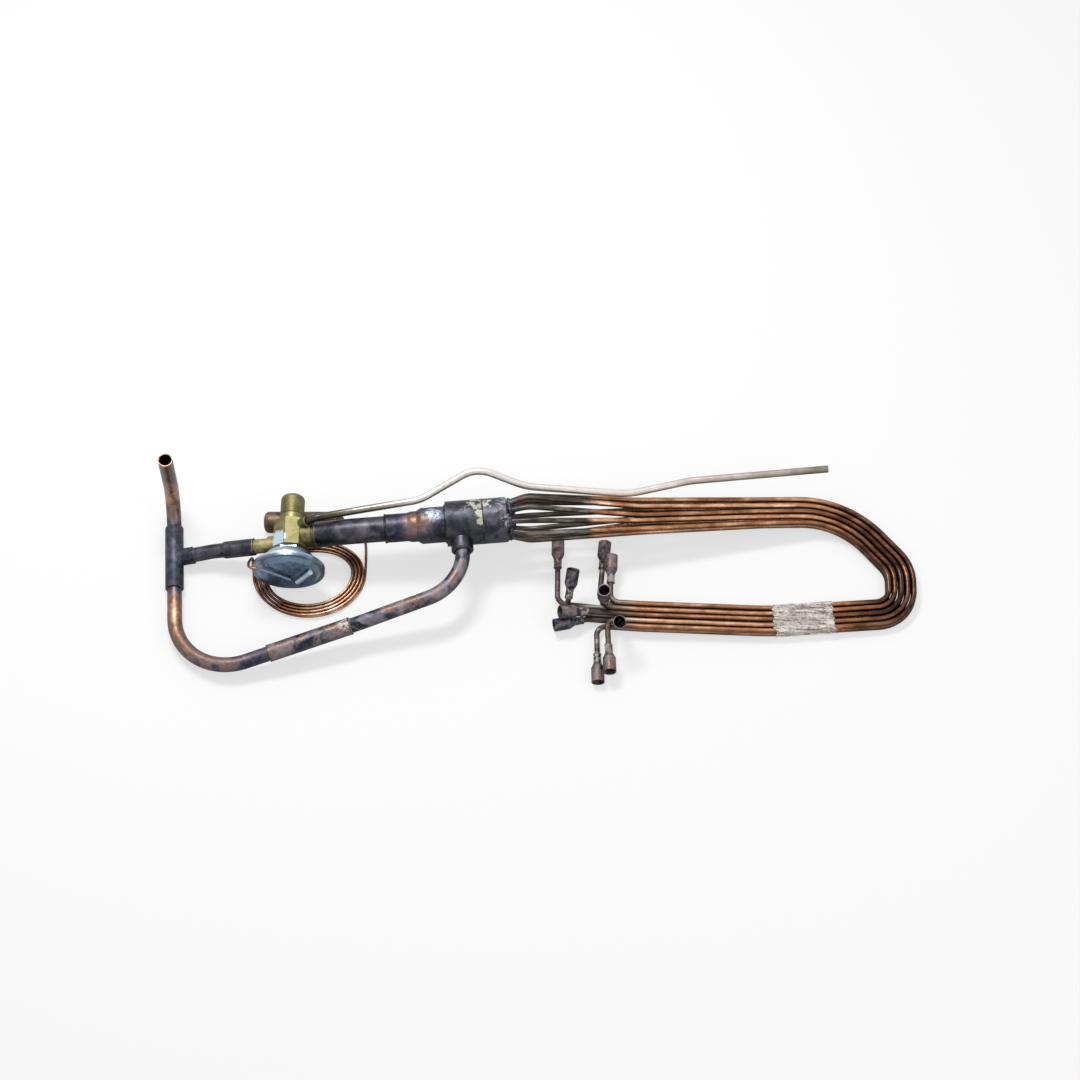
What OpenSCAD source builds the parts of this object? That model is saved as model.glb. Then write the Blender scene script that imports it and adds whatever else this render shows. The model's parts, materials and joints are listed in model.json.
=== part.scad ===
// Thermostatic expansion valve with a side connector, a refrigerant distributor and its feeder tubes.
// The assembly lies on a flat surface. +X runs from the liquid inlet to the feeder bend, +Y away from
// the valve's power element, +Z up. Lengths are millimetres.

/* [Thermostatic element] */
// Outside diameter of the welded rim, which the assembly also rests on
element_d = 62; // [56:1:66]
// Wall of the two pressed housings
element_wall = 1.7; // [1.4:0.1:2.0]
// Depth of the lower housing from the rim to its hex collar
bell_depth = 18; // [16:0.5:19]
// Size of the hex collar across its flats
collar_af = 24; // [22:0.5:26]
// Thickness of the diaphragm
diaphragm_t = 0.3; // [0.2:0.05:0.4]

/* [Valve] */
// Diameter of the brass barrel across its corners
barrel_d = 32; // [30:0.5:34]
// Diameter of the spring chamber
chamber_d = 16.4; // [15:0.2:17]
// Diameter of the seal cap
cap_d = 20.8; // [20.6:0.1:23]
// Length of the seal cap
cap_length = 19; // [18:0.5:22]
// Diameter of the thread that the cap screws onto
cap_thread_d = 18.4; // [17.6:0.1:18.8]
// Pitch of the cap's thread
cap_pitch = 1.5; // [1:0.1:2]
// Opening travel of the valve pin
pin_travel = 0.8; // [0.5:0.1:0.8]
// Diameter of the seat's orifice
orifice_d = 3.2; // [3.0:0.1:3.6]
// Diameter of the adjusting stem
stem_d = 6; // [5:0.2:6.4]

/* [Liquid line] */
// Outside diameter of the liquid, inlet and bypass tubes
liquid_d = 12.7; // [12:0.1:13]
// Wall of the liquid, inlet and bypass tubes
liquid_wall = 0.9; // [0.7:0.1:1.2]
// Outside diameter of the tee and of the swaged sockets
socket_d = 15; // [14.6:0.1:15.6]
// Height of the open end of the liquid inlet above the surface
inlet_height = 86; // [76:1:92]

/* [Outlet line] */
// Outside diameter of the tube between the valve and the distributor
outlet_d = 22.2; // [21.4:0.1:23]
// Wall of that tube
outlet_wall = 1.5; // [1.3:0.1:1.6]
// Outside diameter of the side connector's inlet stub
stub_d = 28.6; // [27:0.1:29]

/* [Distributor] */
// Outside diameter of the side connector and of the distributor
distributor_d = 39.2; // [38:0.2:42]
// Length of the side connector's body
connector_length = 32; // [30:0.5:34]
// Length of the distributor's body
distributor_length = 28; // [27:0.5:30]
// Angle at which the feeder tubes leave the distributor's axis, in degrees
feeder_splay = 16; // [14:0.5:18]

/* [Feeders] */
// Outside diameter of a feeder tube
feeder_d = 4.76; // [4.4:0.02:4.9]
// Wall of a feeder tube
feeder_wall = 0.76; // [0.6:0.02:0.9]
// Outside diameter of a feeder's end stub at its bell
bell_d = 11.2; // [10.8:0.1:11.4]
// Bore of the bell, which takes a coil tube
bell_bore = 9.6; // [9.2:0.1:9.8]
// Depth of the bell
bell_depth_in = 12; // [10:0.5:13]
// Length of an end stub
stub_length = 26; // [24:0.5:28]

/* [Equalizer line] */
// Outside diameter of the external equalizer line
equalizer_d = 6.35; // [6:0.05:6.6]
// Wall of the external equalizer line
equalizer_wall = 0.8; // [0.6:0.05:1.0]

/* [Capillary and bulb] */
// Outside diameter of the capillary tube
capillary_d = 2.4; // [2.0:0.1:2.5]
// Radial step from one turn of the coil to the next
coil_pitch = 3.1; // [3.0:0.05:3.2]
// Outside diameter of the sensing bulb
bulb_d = 19; // [17:0.5:20]
// Length of the sensing bulb
bulb_length = 70; // [60:1:76]

/* [Bundle wrap] */
// Width of the film wrapped round the feeders
wrap_width = 52; // [40:1:60]
// Thickness of the wrapped film
wrap_t = 0.6; // [0.4:0.1:0.8]

/* [Hidden] */
running = 0.05;     // radial clearance of a turning or sliding fit
braze = 0.06;       // radial gap that brazing alloy fills
face_gap = 0.3;     // gap between faces that move apart
lap = 0.2;          // how far a bend's ends run into the straight tube beside it
lap_step = 0.005;   // how much thinner a bend is than the straight tube it runs into
tube_gap = 0.3;     // least gap between two feeders that lie side by side
fine = 48;

// ---- Places, worked out from the sizes above ----
valve_at = [-217, 1, element_d / 2];
rim_t = 2;
collar_t = 2.5;
spigot_length = 4.5;
barrel_z = bell_depth + collar_t;
socket_z = barrel_z + spigot_length;
inlet_z = 28;
seat_z = 30.6;
chamber_z = 33.4;
outlet_z = 33;
barrel_end_z = 46;
body_end_z = 51;
bonnet_end_z = 63;
spigot_d = 18.8;
rod_ring_r = 6.2;
rod_d = 2.2;
pin_d = 3.8;
carrier_z = 34.9;
carrier_t = 2;
guide_z = 44.3;
guide_t = 2;
bonnet_z = 49.3;
flange_t = 2.5;
gasket_t = 0.9;
packing_d = 10.4;
nipple_d = 12.7;
nipple_reach = 43;
outlet_stub_d = outlet_d - 2 * outlet_wall - 2 * braze;
outlet_stub_reach = 36;
insert = 10;
buffer_z = 2.5 + pin_travel;
buffer_t = 2.7;

// The ports roll about the valve's axis so far that the tee rests on the surface too.
tee_d = socket_d + 1;
swage_start = 33;
swage_length = 30;
inlet_straight = swage_start + swage_length + 8;
tee_distance = 35;
port_roll = asin((element_d - tee_d) / 2 / (inlet_straight + tee_distance));
port_dir = [cos(port_roll), 0, sin(port_roll)];
inlet_root = valve_at + [0, inlet_z, 0];
outlet_root = valve_at + [0, outlet_z, 0];

main_yaw = 5;
elbow_run = 50;
elbow = outlet_root + elbow_run * port_dir;
main_dir = [cos(main_yaw), sin(main_yaw), 0];
main_left = [-sin(main_yaw), cos(main_yaw), 0];
outlet_tube_start = 24;
outlet_tube_end = 60;
outlet_bend_r = 60;
adapter_start = 34;
adapter_end = 86;
connector_start = adapter_end;
port_s = connector_start + 12.5;
distributor_start = connector_start + connector_length;
distributor_end = distributor_start + distributor_length;
port_boss_r = 27;

tee_yaw = 5;
tee_run = [sin(tee_yaw), -cos(tee_yaw), 0];
tee_branch = [cos(port_roll) * cos(tee_yaw), cos(port_roll) * sin(tee_yaw), sin(port_roll)];
inlet_bend = inlet_root - port_dir * inlet_straight;
tee_at = inlet_bend - tee_branch * tee_distance;
tee_reach = 29.5;
tee_branch_reach = 17;
tee_socket_in = 6;
inlet_bend_r = 30;
riser_run = 58;
riser_bend_r = 30;
bypass_run = 122;
bypass_bend_r = 50;
bypass_corner = tee_at + tee_run * bypass_run;
sleeve_end = [-162.7, -47.7, 24];
sleeve_dir = unit(sleeve_end - bypass_corner);
sleeve_length = 72;
sleeve_overlap = 12;
side_dir = [sin(main_yaw), -cos(main_yaw), 0];
port_root = elbow + port_s * main_dir;
port_run = 60;
port_corner = port_root + port_run * side_dir;
sleeve_exit = 10;
sleeve_exit_r = 80;
port_corner_r = 41;

// Shift that brings the middle of the finished assembly's outline over the origin.
centre_shift = [2.9, -1.75, 0];

module centred() translate(centre_shift) children();

// ---- Vectors ----
function unit(v) = v / norm(v);
function mix(a, b, t) = a + (b - a) * t;
function smooth(t) = t <= 0 ? 0 : t >= 1 ? 1 : t * t * (3 - 2 * t);

// Puts its children's origin at o, their Z along z and their X along x.
module placed(o, x, z) {
    y = cross(z, x);
    multmatrix([[x[0], y[0], z[0], o[0]], [x[1], y[1], z[1], o[1]], [x[2], y[2], z[2], o[2]],
                [0, 0, 0, 1]]) children();
}

function across(d) = unit(cross(abs(d[2]) > 0.9 ? [0, 1, 0] : [0, 0, 1], d));

module along(o, d) placed(o, across(d), d) children();

// ---- Bent tube: straight lengths joined by true bends ----
function seg(p, i) = unit(p[i + 1] - p[i]);
function turn(p, i) = acos(min(1, seg(p, i - 1) * seg(p, i)));
function trim(p, r, i) = i <= 0 || i >= len(p) - 1 ? 0 : r[i] * tan(turn(p, i) / 2);
function run(p, r, i) = norm(p[i + 1] - p[i]) - trim(p, r, i) - trim(p, r, i + 1);
function inward(p, i) = unit(seg(p, i) - (seg(p, i) * seg(p, i - 1)) * seg(p, i - 1));

module ring(d, bore) difference() {
    circle(d = d, $fn = fine);
    circle(d = bore, $fn = fine);
}

module bent_tube(p, r, d, bore) {
    for (i = [0 : len(p) - 2])
        along(p[i] + seg(p, i) * trim(p, r, i), seg(p, i))
            linear_extrude(run(p, r, i)) ring(d, bore);
    for (i = [1 : len(p) - 2]) {
        over = lap / r[i] * 180 / PI;
        placed(p[i] - seg(p, i - 1) * trim(p, r, i), inward(p, i), seg(p, i - 1))
            translate([r[i], 0, 0]) rotate([90, 0, 180])
                rotate_extrude(angle = turn(p, i) + 2 * over, start = -over, $fn = 96)
                    translate([r[i], 0]) ring(d - 2 * lap_step, bore + 2 * lap_step);
    }
}

module sleeve(length, d, bore) linear_extrude(length) ring(d, bore);

// ---- Swept tube: one unbroken faceted tube along a list of points ----
function tangent(p, i) = unit(p[min(i + 1, len(p) - 1)] - p[max(i - 1, 0)]);
function carried(v, t) = unit(v - (v * t) * t);
function frames(p) = [
    for (i = 0, v = carried(across(tangent(p, 0)), tangent(p, 0)); i < len(p);
         i = i + 1, v = i < len(p) ? carried(v, tangent(p, i)) : v) v
];
function swept_points(p, d, sides) = let (f = frames(p)) [
    for (i = [0 : len(p) - 1]) let (t = tangent(p, i), y = cross(t, f[i]))
        for (k = [0 : sides - 1])
            p[i] + (f[i] * cos(360 * k / sides) + y * sin(360 * k / sides)) * d / 2
];
function side_faces(rings, sides) = [
    for (i = [0 : rings - 2], k = [0 : sides - 1])
        let (a = i * sides + k, b = i * sides + (k + 1) % sides)
            for (f = [[a, a + sides, b], [b, a + sides, b + sides]]) f
];
function end_faces(rings, sides) = let (last = (rings - 1) * sides) [
    for (k = [1 : sides - 2]) for (f = [[0, k, k + 1], [last, last + k + 1, last + k]]) f
];

module swept_tube(p, d, sides) polyhedron(
    points = swept_points(p, d, sides),
    faces = concat(side_faces(len(p), sides), end_faces(len(p), sides)), convexity = 10);

// A smooth curve through hand-picked points, n steps to each stretch.
function rounded(a, b, c, d, t) = 0.5 * (2 * b + (c - a) * t + (2 * a - 5 * b + 4 * c - d) * t * t
    + (3 * b - a - 3 * c + d) * t * t * t);
function curve(p, n) = [
    for (i = [1 : len(p) - 3], k = [0 : n - 1]) rounded(p[i - 1], p[i], p[i + 1], p[i + 2], k / n)
];

// ---- Thermostatic element, on the valve's axis ----
module element_frame() translate(valve_at) rotate([-90, 0, 0]) children();
module port_frame() element_frame() rotate([0, 0, -port_roll]) children();

flat_r = element_d / 2 - 7;
rim_r = element_d / 2;
dish = 3;
bell_mouth_r = rim_r - 4;
collar_r = collar_af / 2;
upper_rim_t = rim_t - diaphragm_t;

module element_upper_housing() color("lightsteelblue") element_frame() {
    rotate_extrude($fn = 96) polygon([
        [0, -dish], [flat_r, -dish], [flat_r + 3.5, 0], [rim_r, 0], [rim_r, upper_rim_t],
        [flat_r + 2.4, upper_rim_t], [flat_r - 0.6, element_wall - dish], [0, element_wall - dish]
    ]);
    face_rib([-17, -16], [10, 19], 1.4, 0.7);
    face_rib([-7, 2], [10, 19], 1.4, 0.7);
}

// A straight pressed rib on the flat of the upper housing, from a to b.
module face_rib(a, b, w, h) {
    d = b - a;
    translate([a[0], a[1], -dish - h]) rotate([0, 0, atan2(d[1], d[0])]) {
        translate([0, -w / 2, 0]) cube([norm(d), w, h + 0.5]);
        cylinder(d = w, h = h + 0.5, $fn = 24);
        translate([norm(d), 0, 0]) cylinder(d = w, h = h + 0.5, $fn = 24);
    }
}

ferrule_d = 4.6;
ferrule_length = 22;
ferrule_from = [7, 9];
ferrule_to = [20, -9];

// Brazed fitting on the face, through which the capillary enters the charge space.
module element_ferrule() color("silver") element_frame()
    translate([ferrule_from[0], ferrule_from[1], -dish - ferrule_d / 2])
        rotate([0, 90, atan2((ferrule_to - ferrule_from)[1], (ferrule_to - ferrule_from)[0])])
            difference() {
                cylinder(d = ferrule_d, h = ferrule_length, $fn = fine);
                translate([0, 0, -1])
                    cylinder(d = capillary_d + 2 * braze, h = 5, $fn = fine);
            }

module diaphragm() color("gainsboro") element_frame()
    translate([0, 0, upper_rim_t]) cylinder(d = element_d - 1, h = diaphragm_t, $fn = 96);

module element_lower_housing() color("lightsteelblue") element_frame() difference() {
    union() {
        rotate_extrude($fn = 96) polygon([
            [0, rim_t], [rim_r, rim_t], [rim_r, rim_t + 2], [bell_mouth_r, rim_t + 2.4],
            [bell_mouth_r - 2.4, bell_depth * 0.5], [bell_mouth_r - 7, bell_depth * 0.8],
            [collar_r + 2.4, bell_depth - 0.6], [collar_r + 1.6, bell_depth], [0, bell_depth]
        ]);
        translate([0, 0, bell_depth - 0.5])
            cylinder(d = collar_af / cos(30), h = collar_t + 0.5, $fn = 6);
        translate([0, 0, bell_depth])
            cylinder(d = spigot_d, h = socket_z - face_gap - bell_depth, $fn = fine);
    }
    rotate_extrude($fn = 96) polygon([
        [0, rim_t - 1], [bell_mouth_r - 1.4, rim_t - 1], [bell_mouth_r - 1.4, rim_t + 1.6],
        [bell_mouth_r - 2.4 - element_wall, bell_depth * 0.5 - 0.4],
        [bell_mouth_r - 7 - element_wall, bell_depth * 0.8 - 0.6],
        [rod_ring_r + 2, bell_depth - element_wall - 1], [0, bell_depth - element_wall - 1]
    ]);
    cylinder(r = rod_ring_r + rod_d / 2 + 0.4, h = socket_z + 1, $fn = fine);
    for (a = [0 : 120 : 240]) rotate([0, 0, a + 30]) translate([0, 0, barrel_z + 0.9])
        rotate([0, 90, 0]) cylinder(d = 1.6, h = spigot_d, $fn = 24);
}

// ---- Valve body and what it holds ----
flat_af = barrel_d - 2.4;

module valve_body() color("darkkhaki") port_frame() difference() {
    union() {
        intersection() {
            translate([0, 0, barrel_z]) cylinder(d = barrel_d, h = barrel_end_z - barrel_z, $fn = 96);
            translate([0, 0, barrel_z])
                cylinder(d = flat_af / cos(22.5), h = barrel_end_z - barrel_z, $fn = 8);
        }
        rotate_extrude($fn = 96) polygon([
            [0, barrel_end_z - 2], [flat_af / 2 - 1, barrel_end_z - 2], [flat_af / 2 - 1, barrel_end_z],
            [cap_d / 2, barrel_end_z + 2.6], [cap_d / 2, body_end_z], [0, body_end_z]
        ]);
        inlet_nipple();
        outlet_stub();
        equalizer_boss();
    }
    translate([0, 0, barrel_z - 1])
        cylinder(d = spigot_d + 2 * braze, h = socket_z - barrel_z + 1, $fn = fine);
    translate([0, 0, chamber_z]) cylinder(d = chamber_d, h = 40, $fn = fine);
    translate([0, 0, barrel_z - 1]) cylinder(r = groove_r, h = 2, $fn = fine);
    translate([0, 0, inlet_z - inlet_bore / 2 - 0.15]) cylinder(r = seat_r, h = 10, $fn = fine);
    for (s = [-1, 1]) translate([0, s * rod_ring_r, socket_z - 1])
        cylinder(d = rod_d + 2 * running, h = 20, $fn = fine);
    inlet_passage();
    outlet_passage();
    equalizer_passage();
}

seat_r = 4.4;
inlet_bore = 4.4;
groove_r = 11.7;
module toward_inlet(z) translate([0, 0, z]) rotate([0, -90, 0]) children();
module toward_outlet(z) translate([0, 0, z]) rotate([0, 90, 0]) children();

module inlet_nipple() {
    toward_inlet(inlet_z) cylinder(d = nipple_d, h = nipple_reach, $fn = fine);
    toward_inlet(inlet_z) cylinder(d = nipple_d + 2.6, h = 19, $fn = fine);
}

module inlet_passage() {
    toward_inlet(inlet_z) cylinder(d = inlet_bore, h = nipple_reach, $fn = fine);
    toward_inlet(inlet_z) translate([0, 0, strainer_start])
        cylinder(d = strainer_d + 2 * braze, h = nipple_reach, $fn = fine);
}

strainer_d = 9.8;
strainer_start = 17;
strainer_length = 20;

module outlet_stub() {
    toward_outlet(outlet_z) cylinder(d = outlet_stub_d, h = outlet_stub_reach, $fn = fine);
    toward_outlet(outlet_z) cylinder(d = outlet_stub_d + 2.6, h = 21, $fn = fine);
}

module outlet_passage() {
    toward_outlet(outlet_z) translate([0, 0, 10.2])
        cylinder(d = outlet_stub_d - 5, h = outlet_stub_reach, $fn = fine);
    toward_outlet(outlet_z + 5) cylinder(d = 7.6, h = 12, $fn = fine);
}

eq_z = 40.5;
eq_boss_d = 10.4;
eq_boss_reach = 22;
eq_up = 45 - port_roll;
eq_drill_r = 10.7;

module equalizer_boss() rotate([0, 0, -eq_up]) translate([0, 0, eq_z]) rotate([0, 90, 0])
    cylinder(d = eq_boss_d, h = eq_boss_reach, $fn = fine);

module equalizer_passage() rotate([0, 0, -eq_up]) {
    translate([0, 0, eq_z]) rotate([0, 90, 0]) {
        translate([0, 0, eq_boss_reach - 8])
            cylinder(d = equalizer_d + 2 * braze, h = 9, $fn = fine);
        translate([0, 0, eq_drill_r]) cylinder(d = 3, h = 10, $fn = fine);
    }
    translate([eq_drill_r, 0, barrel_z]) cylinder(d = 1.6, h = eq_z - barrel_z, $fn = 24);
}

module inlet_strainer() color("silver") port_frame() toward_inlet(inlet_z)
    translate([0, 0, strainer_start]) difference() {
        cylinder(d = strainer_d, h = strainer_length, $fn = fine);
        translate([0, 0, 0.8]) cylinder(d = strainer_d - 1.2, h = strainer_length, $fn = fine);
        for (k = [0 : 5]) rotate([0, 0, 60 * k]) translate([0, 0, 3])
            translate([0, -1.1, 0]) cube([strainer_d, 2.2, strainer_length - 6]);
    }

module valve_seat() color("silver") port_frame() translate([0, 0, seat_z]) difference() {
    cylinder(r = seat_r - braze, h = chamber_z - seat_z, $fn = fine);
    translate([0, 0, -1]) cylinder(d = orifice_d, h = 5, $fn = fine);
}

module buffer_plate() color("silver") port_frame() translate([0, 0, buffer_z])
    cylinder(d = element_d - 26, h = buffer_t, $fn = 96);

module push_rods() color("silver") port_frame() for (s = [-1, 1])
    translate([0, s * rod_ring_r, buffer_z + buffer_t])
        cylinder(d = rod_d, h = carrier_z - buffer_z - buffer_t, $fn = fine);

module pin_carrier() color("silver") port_frame() translate([0, 0, carrier_z])
    cylinder(d = chamber_d - 2 * running, h = carrier_t, $fn = fine);

tip_d = 1.2;
pin_slope = 0.5;
tip_z = chamber_z - (orifice_d / 2 - running - tip_d / 2) / pin_slope + pin_travel;
shoulder_z = tip_z + (pin_d / 2 - tip_d / 2) / pin_slope;

// Tapered pin: at the closed end of its travel its taper meets the orifice.
module valve_pin() color("silver") port_frame() rotate_extrude($fn = fine) polygon([
    [0, tip_z], [tip_d / 2, tip_z], [pin_d / 2, shoulder_z], [pin_d / 2, carrier_z], [0, carrier_z]
]);

spring_wire = 1.2;
spring_curls = 4;
spring_r = 5.4;
spring_from = carrier_z + carrier_t + face_gap + spring_wire / 2;
spring_to = guide_z - face_gap - spring_wire / 2;
spring_points = [
    for (i = [0 : 8 * spring_curls]) let (t = i / (8 * spring_curls))
        [spring_r * cos(45 * i), spring_r * sin(45 * i), mix(spring_from, spring_to, t)]
];

module superheat_spring() color("silver") port_frame() swept_tube(spring_points, spring_wire, 6);

module spring_guide() color("silver") port_frame() translate([0, 0, guide_z]) difference() {
    cylinder(d = chamber_d - 2 * running, h = guide_t, $fn = fine);
    translate([0, 0, -1]) cylinder(d = stem_d + 2 * running, h = guide_t + 2, $fn = fine);
}

packing_z = bonnet_z + 5.7;
stem_collar_t = 1.2;
stem_end_z = 69.5;

module adjusting_stem() color("silver") port_frame() {
    translate([0, 0, guide_z - 1.6]) cylinder(d = stem_d, h = bonnet_end_z - guide_z + 1.6, $fn = fine);
    translate([0, 0, packing_z + 0.2]) cylinder(d = packing_d - 1.6, h = stem_collar_t, $fn = fine);
    translate([-2.1, -2.1, bonnet_end_z - 1]) cube([4.2, 4.2, stem_end_z - bonnet_end_z + 1]);
}

module stem_bonnet() color("darkkhaki") port_frame() difference() {
    union() {
        translate([0, 0, bonnet_z])
            cylinder(d = chamber_d - 2 * braze, h = body_end_z - bonnet_z, $fn = fine);
        translate([0, 0, body_end_z]) cylinder(d = cap_d, h = flange_t, $fn = 96);
        translate([0, 0, body_end_z])
            cylinder(d = cap_thread_d, h = bonnet_end_z - body_end_z, $fn = 96);
    }
    translate([0, 0, bonnet_z - 1]) cylinder(d = stem_d + 2 * running, h = 20, $fn = fine);
    translate([0, 0, packing_z]) cylinder(d = packing_d, h = 20, $fn = fine);
}

module stem_packing() color("dimgray") port_frame()
    translate([0, 0, packing_z + 0.4 + stem_collar_t])
        sleeve(2.4, packing_d - 2 * braze, stem_d + 2 * running);

module packing_nut() color("darkkhaki") port_frame()
    translate([0, 0, packing_z + 2.8 + stem_collar_t])
        sleeve(3.4, packing_d - 2 * braze, stem_d + 2 * running);

module cap_gasket() color("dimgray") port_frame() translate([0, 0, body_end_z + flange_t])
    sleeve(gasket_t, cap_d, cap_thread_d + 2 * running);

cap_z = body_end_z + flange_t + gasket_t + 0.1;

module seal_cap() color("darkkhaki") port_frame() translate([0, 0, cap_z]) difference() {
    rotate_extrude($fn = 96) polygon([
        [0, 0], [cap_d / 2, 0], [cap_d / 2, cap_length - 3.4], [cap_d / 2 - 0.5, cap_length - 1.9],
        [cap_d / 2 - 1.4, cap_length - 0.9], [cap_d / 2 - 3, cap_length - 0.2],
        [cap_d / 2 - 4.4, cap_length], [0, cap_length]
    ]);
    translate([0, 0, -1])
        cylinder(d = cap_thread_d + 2 * running, h = bonnet_end_z - cap_z + 1.6, $fn = 96);
    cylinder(d = cap_thread_d - 5, h = cap_length - 2.4, $fn = fine);
}

// ---- Liquid line ----
bore = liquid_d - 2 * liquid_wall;
riser_corner = tee_at - tee_run * riser_run;
riser_top = [-321, 79.5, inlet_height];

module liquid_inlet_tube() color("rosybrown") bent_tube(
    [tee_at - tee_run * (tee_reach - insert), riser_corner, riser_top],
    [0, riser_bend_r, 0], liquid_d, bore);

module inlet_tee() color("sienna") difference() {
    union() {
        along(tee_at - tee_run * tee_reach, tee_run) cylinder(d = tee_d, h = 2 * tee_reach, $fn = fine);
        along(tee_at, tee_branch) cylinder(d = tee_d - 1, h = tee_branch_reach, $fn = fine);
    }
    along(tee_at - tee_run * (tee_reach + 1), tee_run)
        cylinder(d = bore, h = 2 * tee_reach + 2, $fn = fine);
    for (s = [-1, 1]) along(tee_at + s * tee_run * (tee_reach - insert), s * tee_run)
        cylinder(d = liquid_d + 2 * braze, h = insert + 1, $fn = fine);
    along(tee_at, tee_branch) cylinder(d = bore, h = tee_branch_reach + 1, $fn = fine);
    along(tee_at + tee_branch * (tee_branch_reach - tee_socket_in), tee_branch)
        cylinder(d = liquid_d + 2 * braze, h = tee_socket_in + 1, $fn = fine);
}

swage_r = nipple_d / 2 + braze;
swage_in = nipple_reach - swage_start + face_gap;
swage_taper = swage_length - 1;

module valve_inlet_tube() color("dimgray") {
    bent_tube([inlet_root - port_dir * (swage_start + swage_length - lap), inlet_bend,
               tee_at + tee_branch * (tee_branch_reach - tee_socket_in)],
              [0, inlet_bend_r, 0], liquid_d, bore);
    along(inlet_root - port_dir * swage_start, -port_dir) rotate_extrude($fn = fine) polygon([
        [swage_r, 0], [socket_d / 2 - 0.5, 0], [socket_d / 2, 0.5], [socket_d / 2, swage_taper - 3],
        [liquid_d / 2 - lap_step, swage_taper], [liquid_d / 2 - lap_step, swage_length],
        [bore / 2 + lap_step, swage_length], [bore / 2 + lap_step, swage_in + 0.6],
        [swage_r, swage_in]
    ]);
}

module bypass_tube_lower() color("peru") bent_tube(
    [tee_at + tee_run * (tee_reach - insert), bypass_corner,
     sleeve_end - sleeve_dir * (sleeve_length - sleeve_overlap)],
    [0, bypass_bend_r, 0], liquid_d, bore);

module bypass_sleeve() color("sienna") along(sleeve_end - sleeve_dir * sleeve_length, sleeve_dir)
    sleeve(sleeve_length, socket_d, liquid_d + 2 * braze);

module bypass_tube_upper() color("rosybrown") bent_tube(
    [sleeve_end - sleeve_dir * sleeve_overlap, sleeve_end + sleeve_dir * sleeve_exit, port_corner,
     port_root + side_dir * (port_boss_r - insert)],
    [0, sleeve_exit_r, port_corner_r, 0], liquid_d, bore);

// ---- Outlet line, side connector and distributor, on the main axis ----
module main_frame() translate(elbow) rotate([0, 0, main_yaw]) rotate([0, 90, 0]) children();

module outlet_tube() color("dimgray") bent_tube(
    [outlet_root + port_dir * outlet_tube_start, elbow, elbow + main_dir * outlet_tube_end],
    [0, outlet_bend_r, 0], outlet_d, outlet_d - 2 * outlet_wall);

module outlet_adapter() color("sienna") main_frame() rotate_extrude($fn = 96) polygon([
    [outlet_d / 2 + braze, adapter_start], [outlet_d / 2 + 1.2, adapter_start],
    [outlet_d / 2 + 1.2, adapter_start + 19], [outlet_d / 2 + 2.2, adapter_start + 22],
    [outlet_d / 2 + 2.2, adapter_start + 27], [stub_d / 2 + 1.3, adapter_start + 31],
    [stub_d / 2 + 1.3, adapter_end], [stub_d / 2 + braze, adapter_end],
    [stub_d / 2 + braze, adapter_start + 32.4], [outlet_d / 2 + braze, adapter_start + 27.4]
]);

module side_connector() color("darkslategray") main_frame() difference() {
    union() {
        translate([0, 0, connector_start])
            cylinder(d = distributor_d, h = connector_length, $fn = 96);
        translate([0, 0, connector_start - 18]) cylinder(d = stub_d, h = 19, $fn = 96);
        translate([0, 0, connector_start + connector_length])
            cylinder(d = distributor_d - 6, h = 5, $fn = 96);
        translate([0, 0, port_s]) rotate([90, 0, 0]) cylinder(d = 19, h = port_boss_r, $fn = fine);
    }
    translate([0, 0, connector_start - 19]) cylinder(d = stub_d - 5, h = 19, $fn = fine);
    translate([0, 0, connector_start - 1]) cylinder(d = 20, h = connector_length + 7, $fn = fine);
    translate([0, 0, port_s]) rotate([90, 0, 0]) cylinder(d = bore, h = port_boss_r + 1, $fn = fine);
    translate([0, 0, port_s]) rotate([90, 0, 0]) translate([0, 0, port_boss_r - insert])
        cylinder(d = liquid_d + 2 * braze, h = insert + 1, $fn = fine);
}

nozzle_d = 26;
nozzle_t = 4;
nozzle_z = distributor_start + 7.6;
counterbore_depth = 11.7;
retainer_t = 1.2;

module distributor_nozzle() color("goldenrod") main_frame() translate([0, 0, nozzle_z])
    rotate_extrude($fn = fine) polygon([
        [4, 0], [nozzle_d / 2, 0], [nozzle_d / 2, nozzle_t], [6.6, nozzle_t],
        [5.6, nozzle_t + 1.4], [4.6, nozzle_t + 1.4], [4, nozzle_t - 1]
    ]);

module nozzle_retaining_ring() color("silver") main_frame()
    translate([0, 0, nozzle_z - retainer_t - 0.1]) rotate([0, 0, 20]) rotate_extrude(
        angle = 320, $fn = 96) translate([nozzle_d / 2 - 1.6, 0]) square([1.9, retainer_t]);

feeders = 10;
feeder_angle = 360 / feeders;
exit_r = 15;
socket_in = 7;
exit_s = distributor_end - 5;
chamber_cone = 9;

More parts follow.
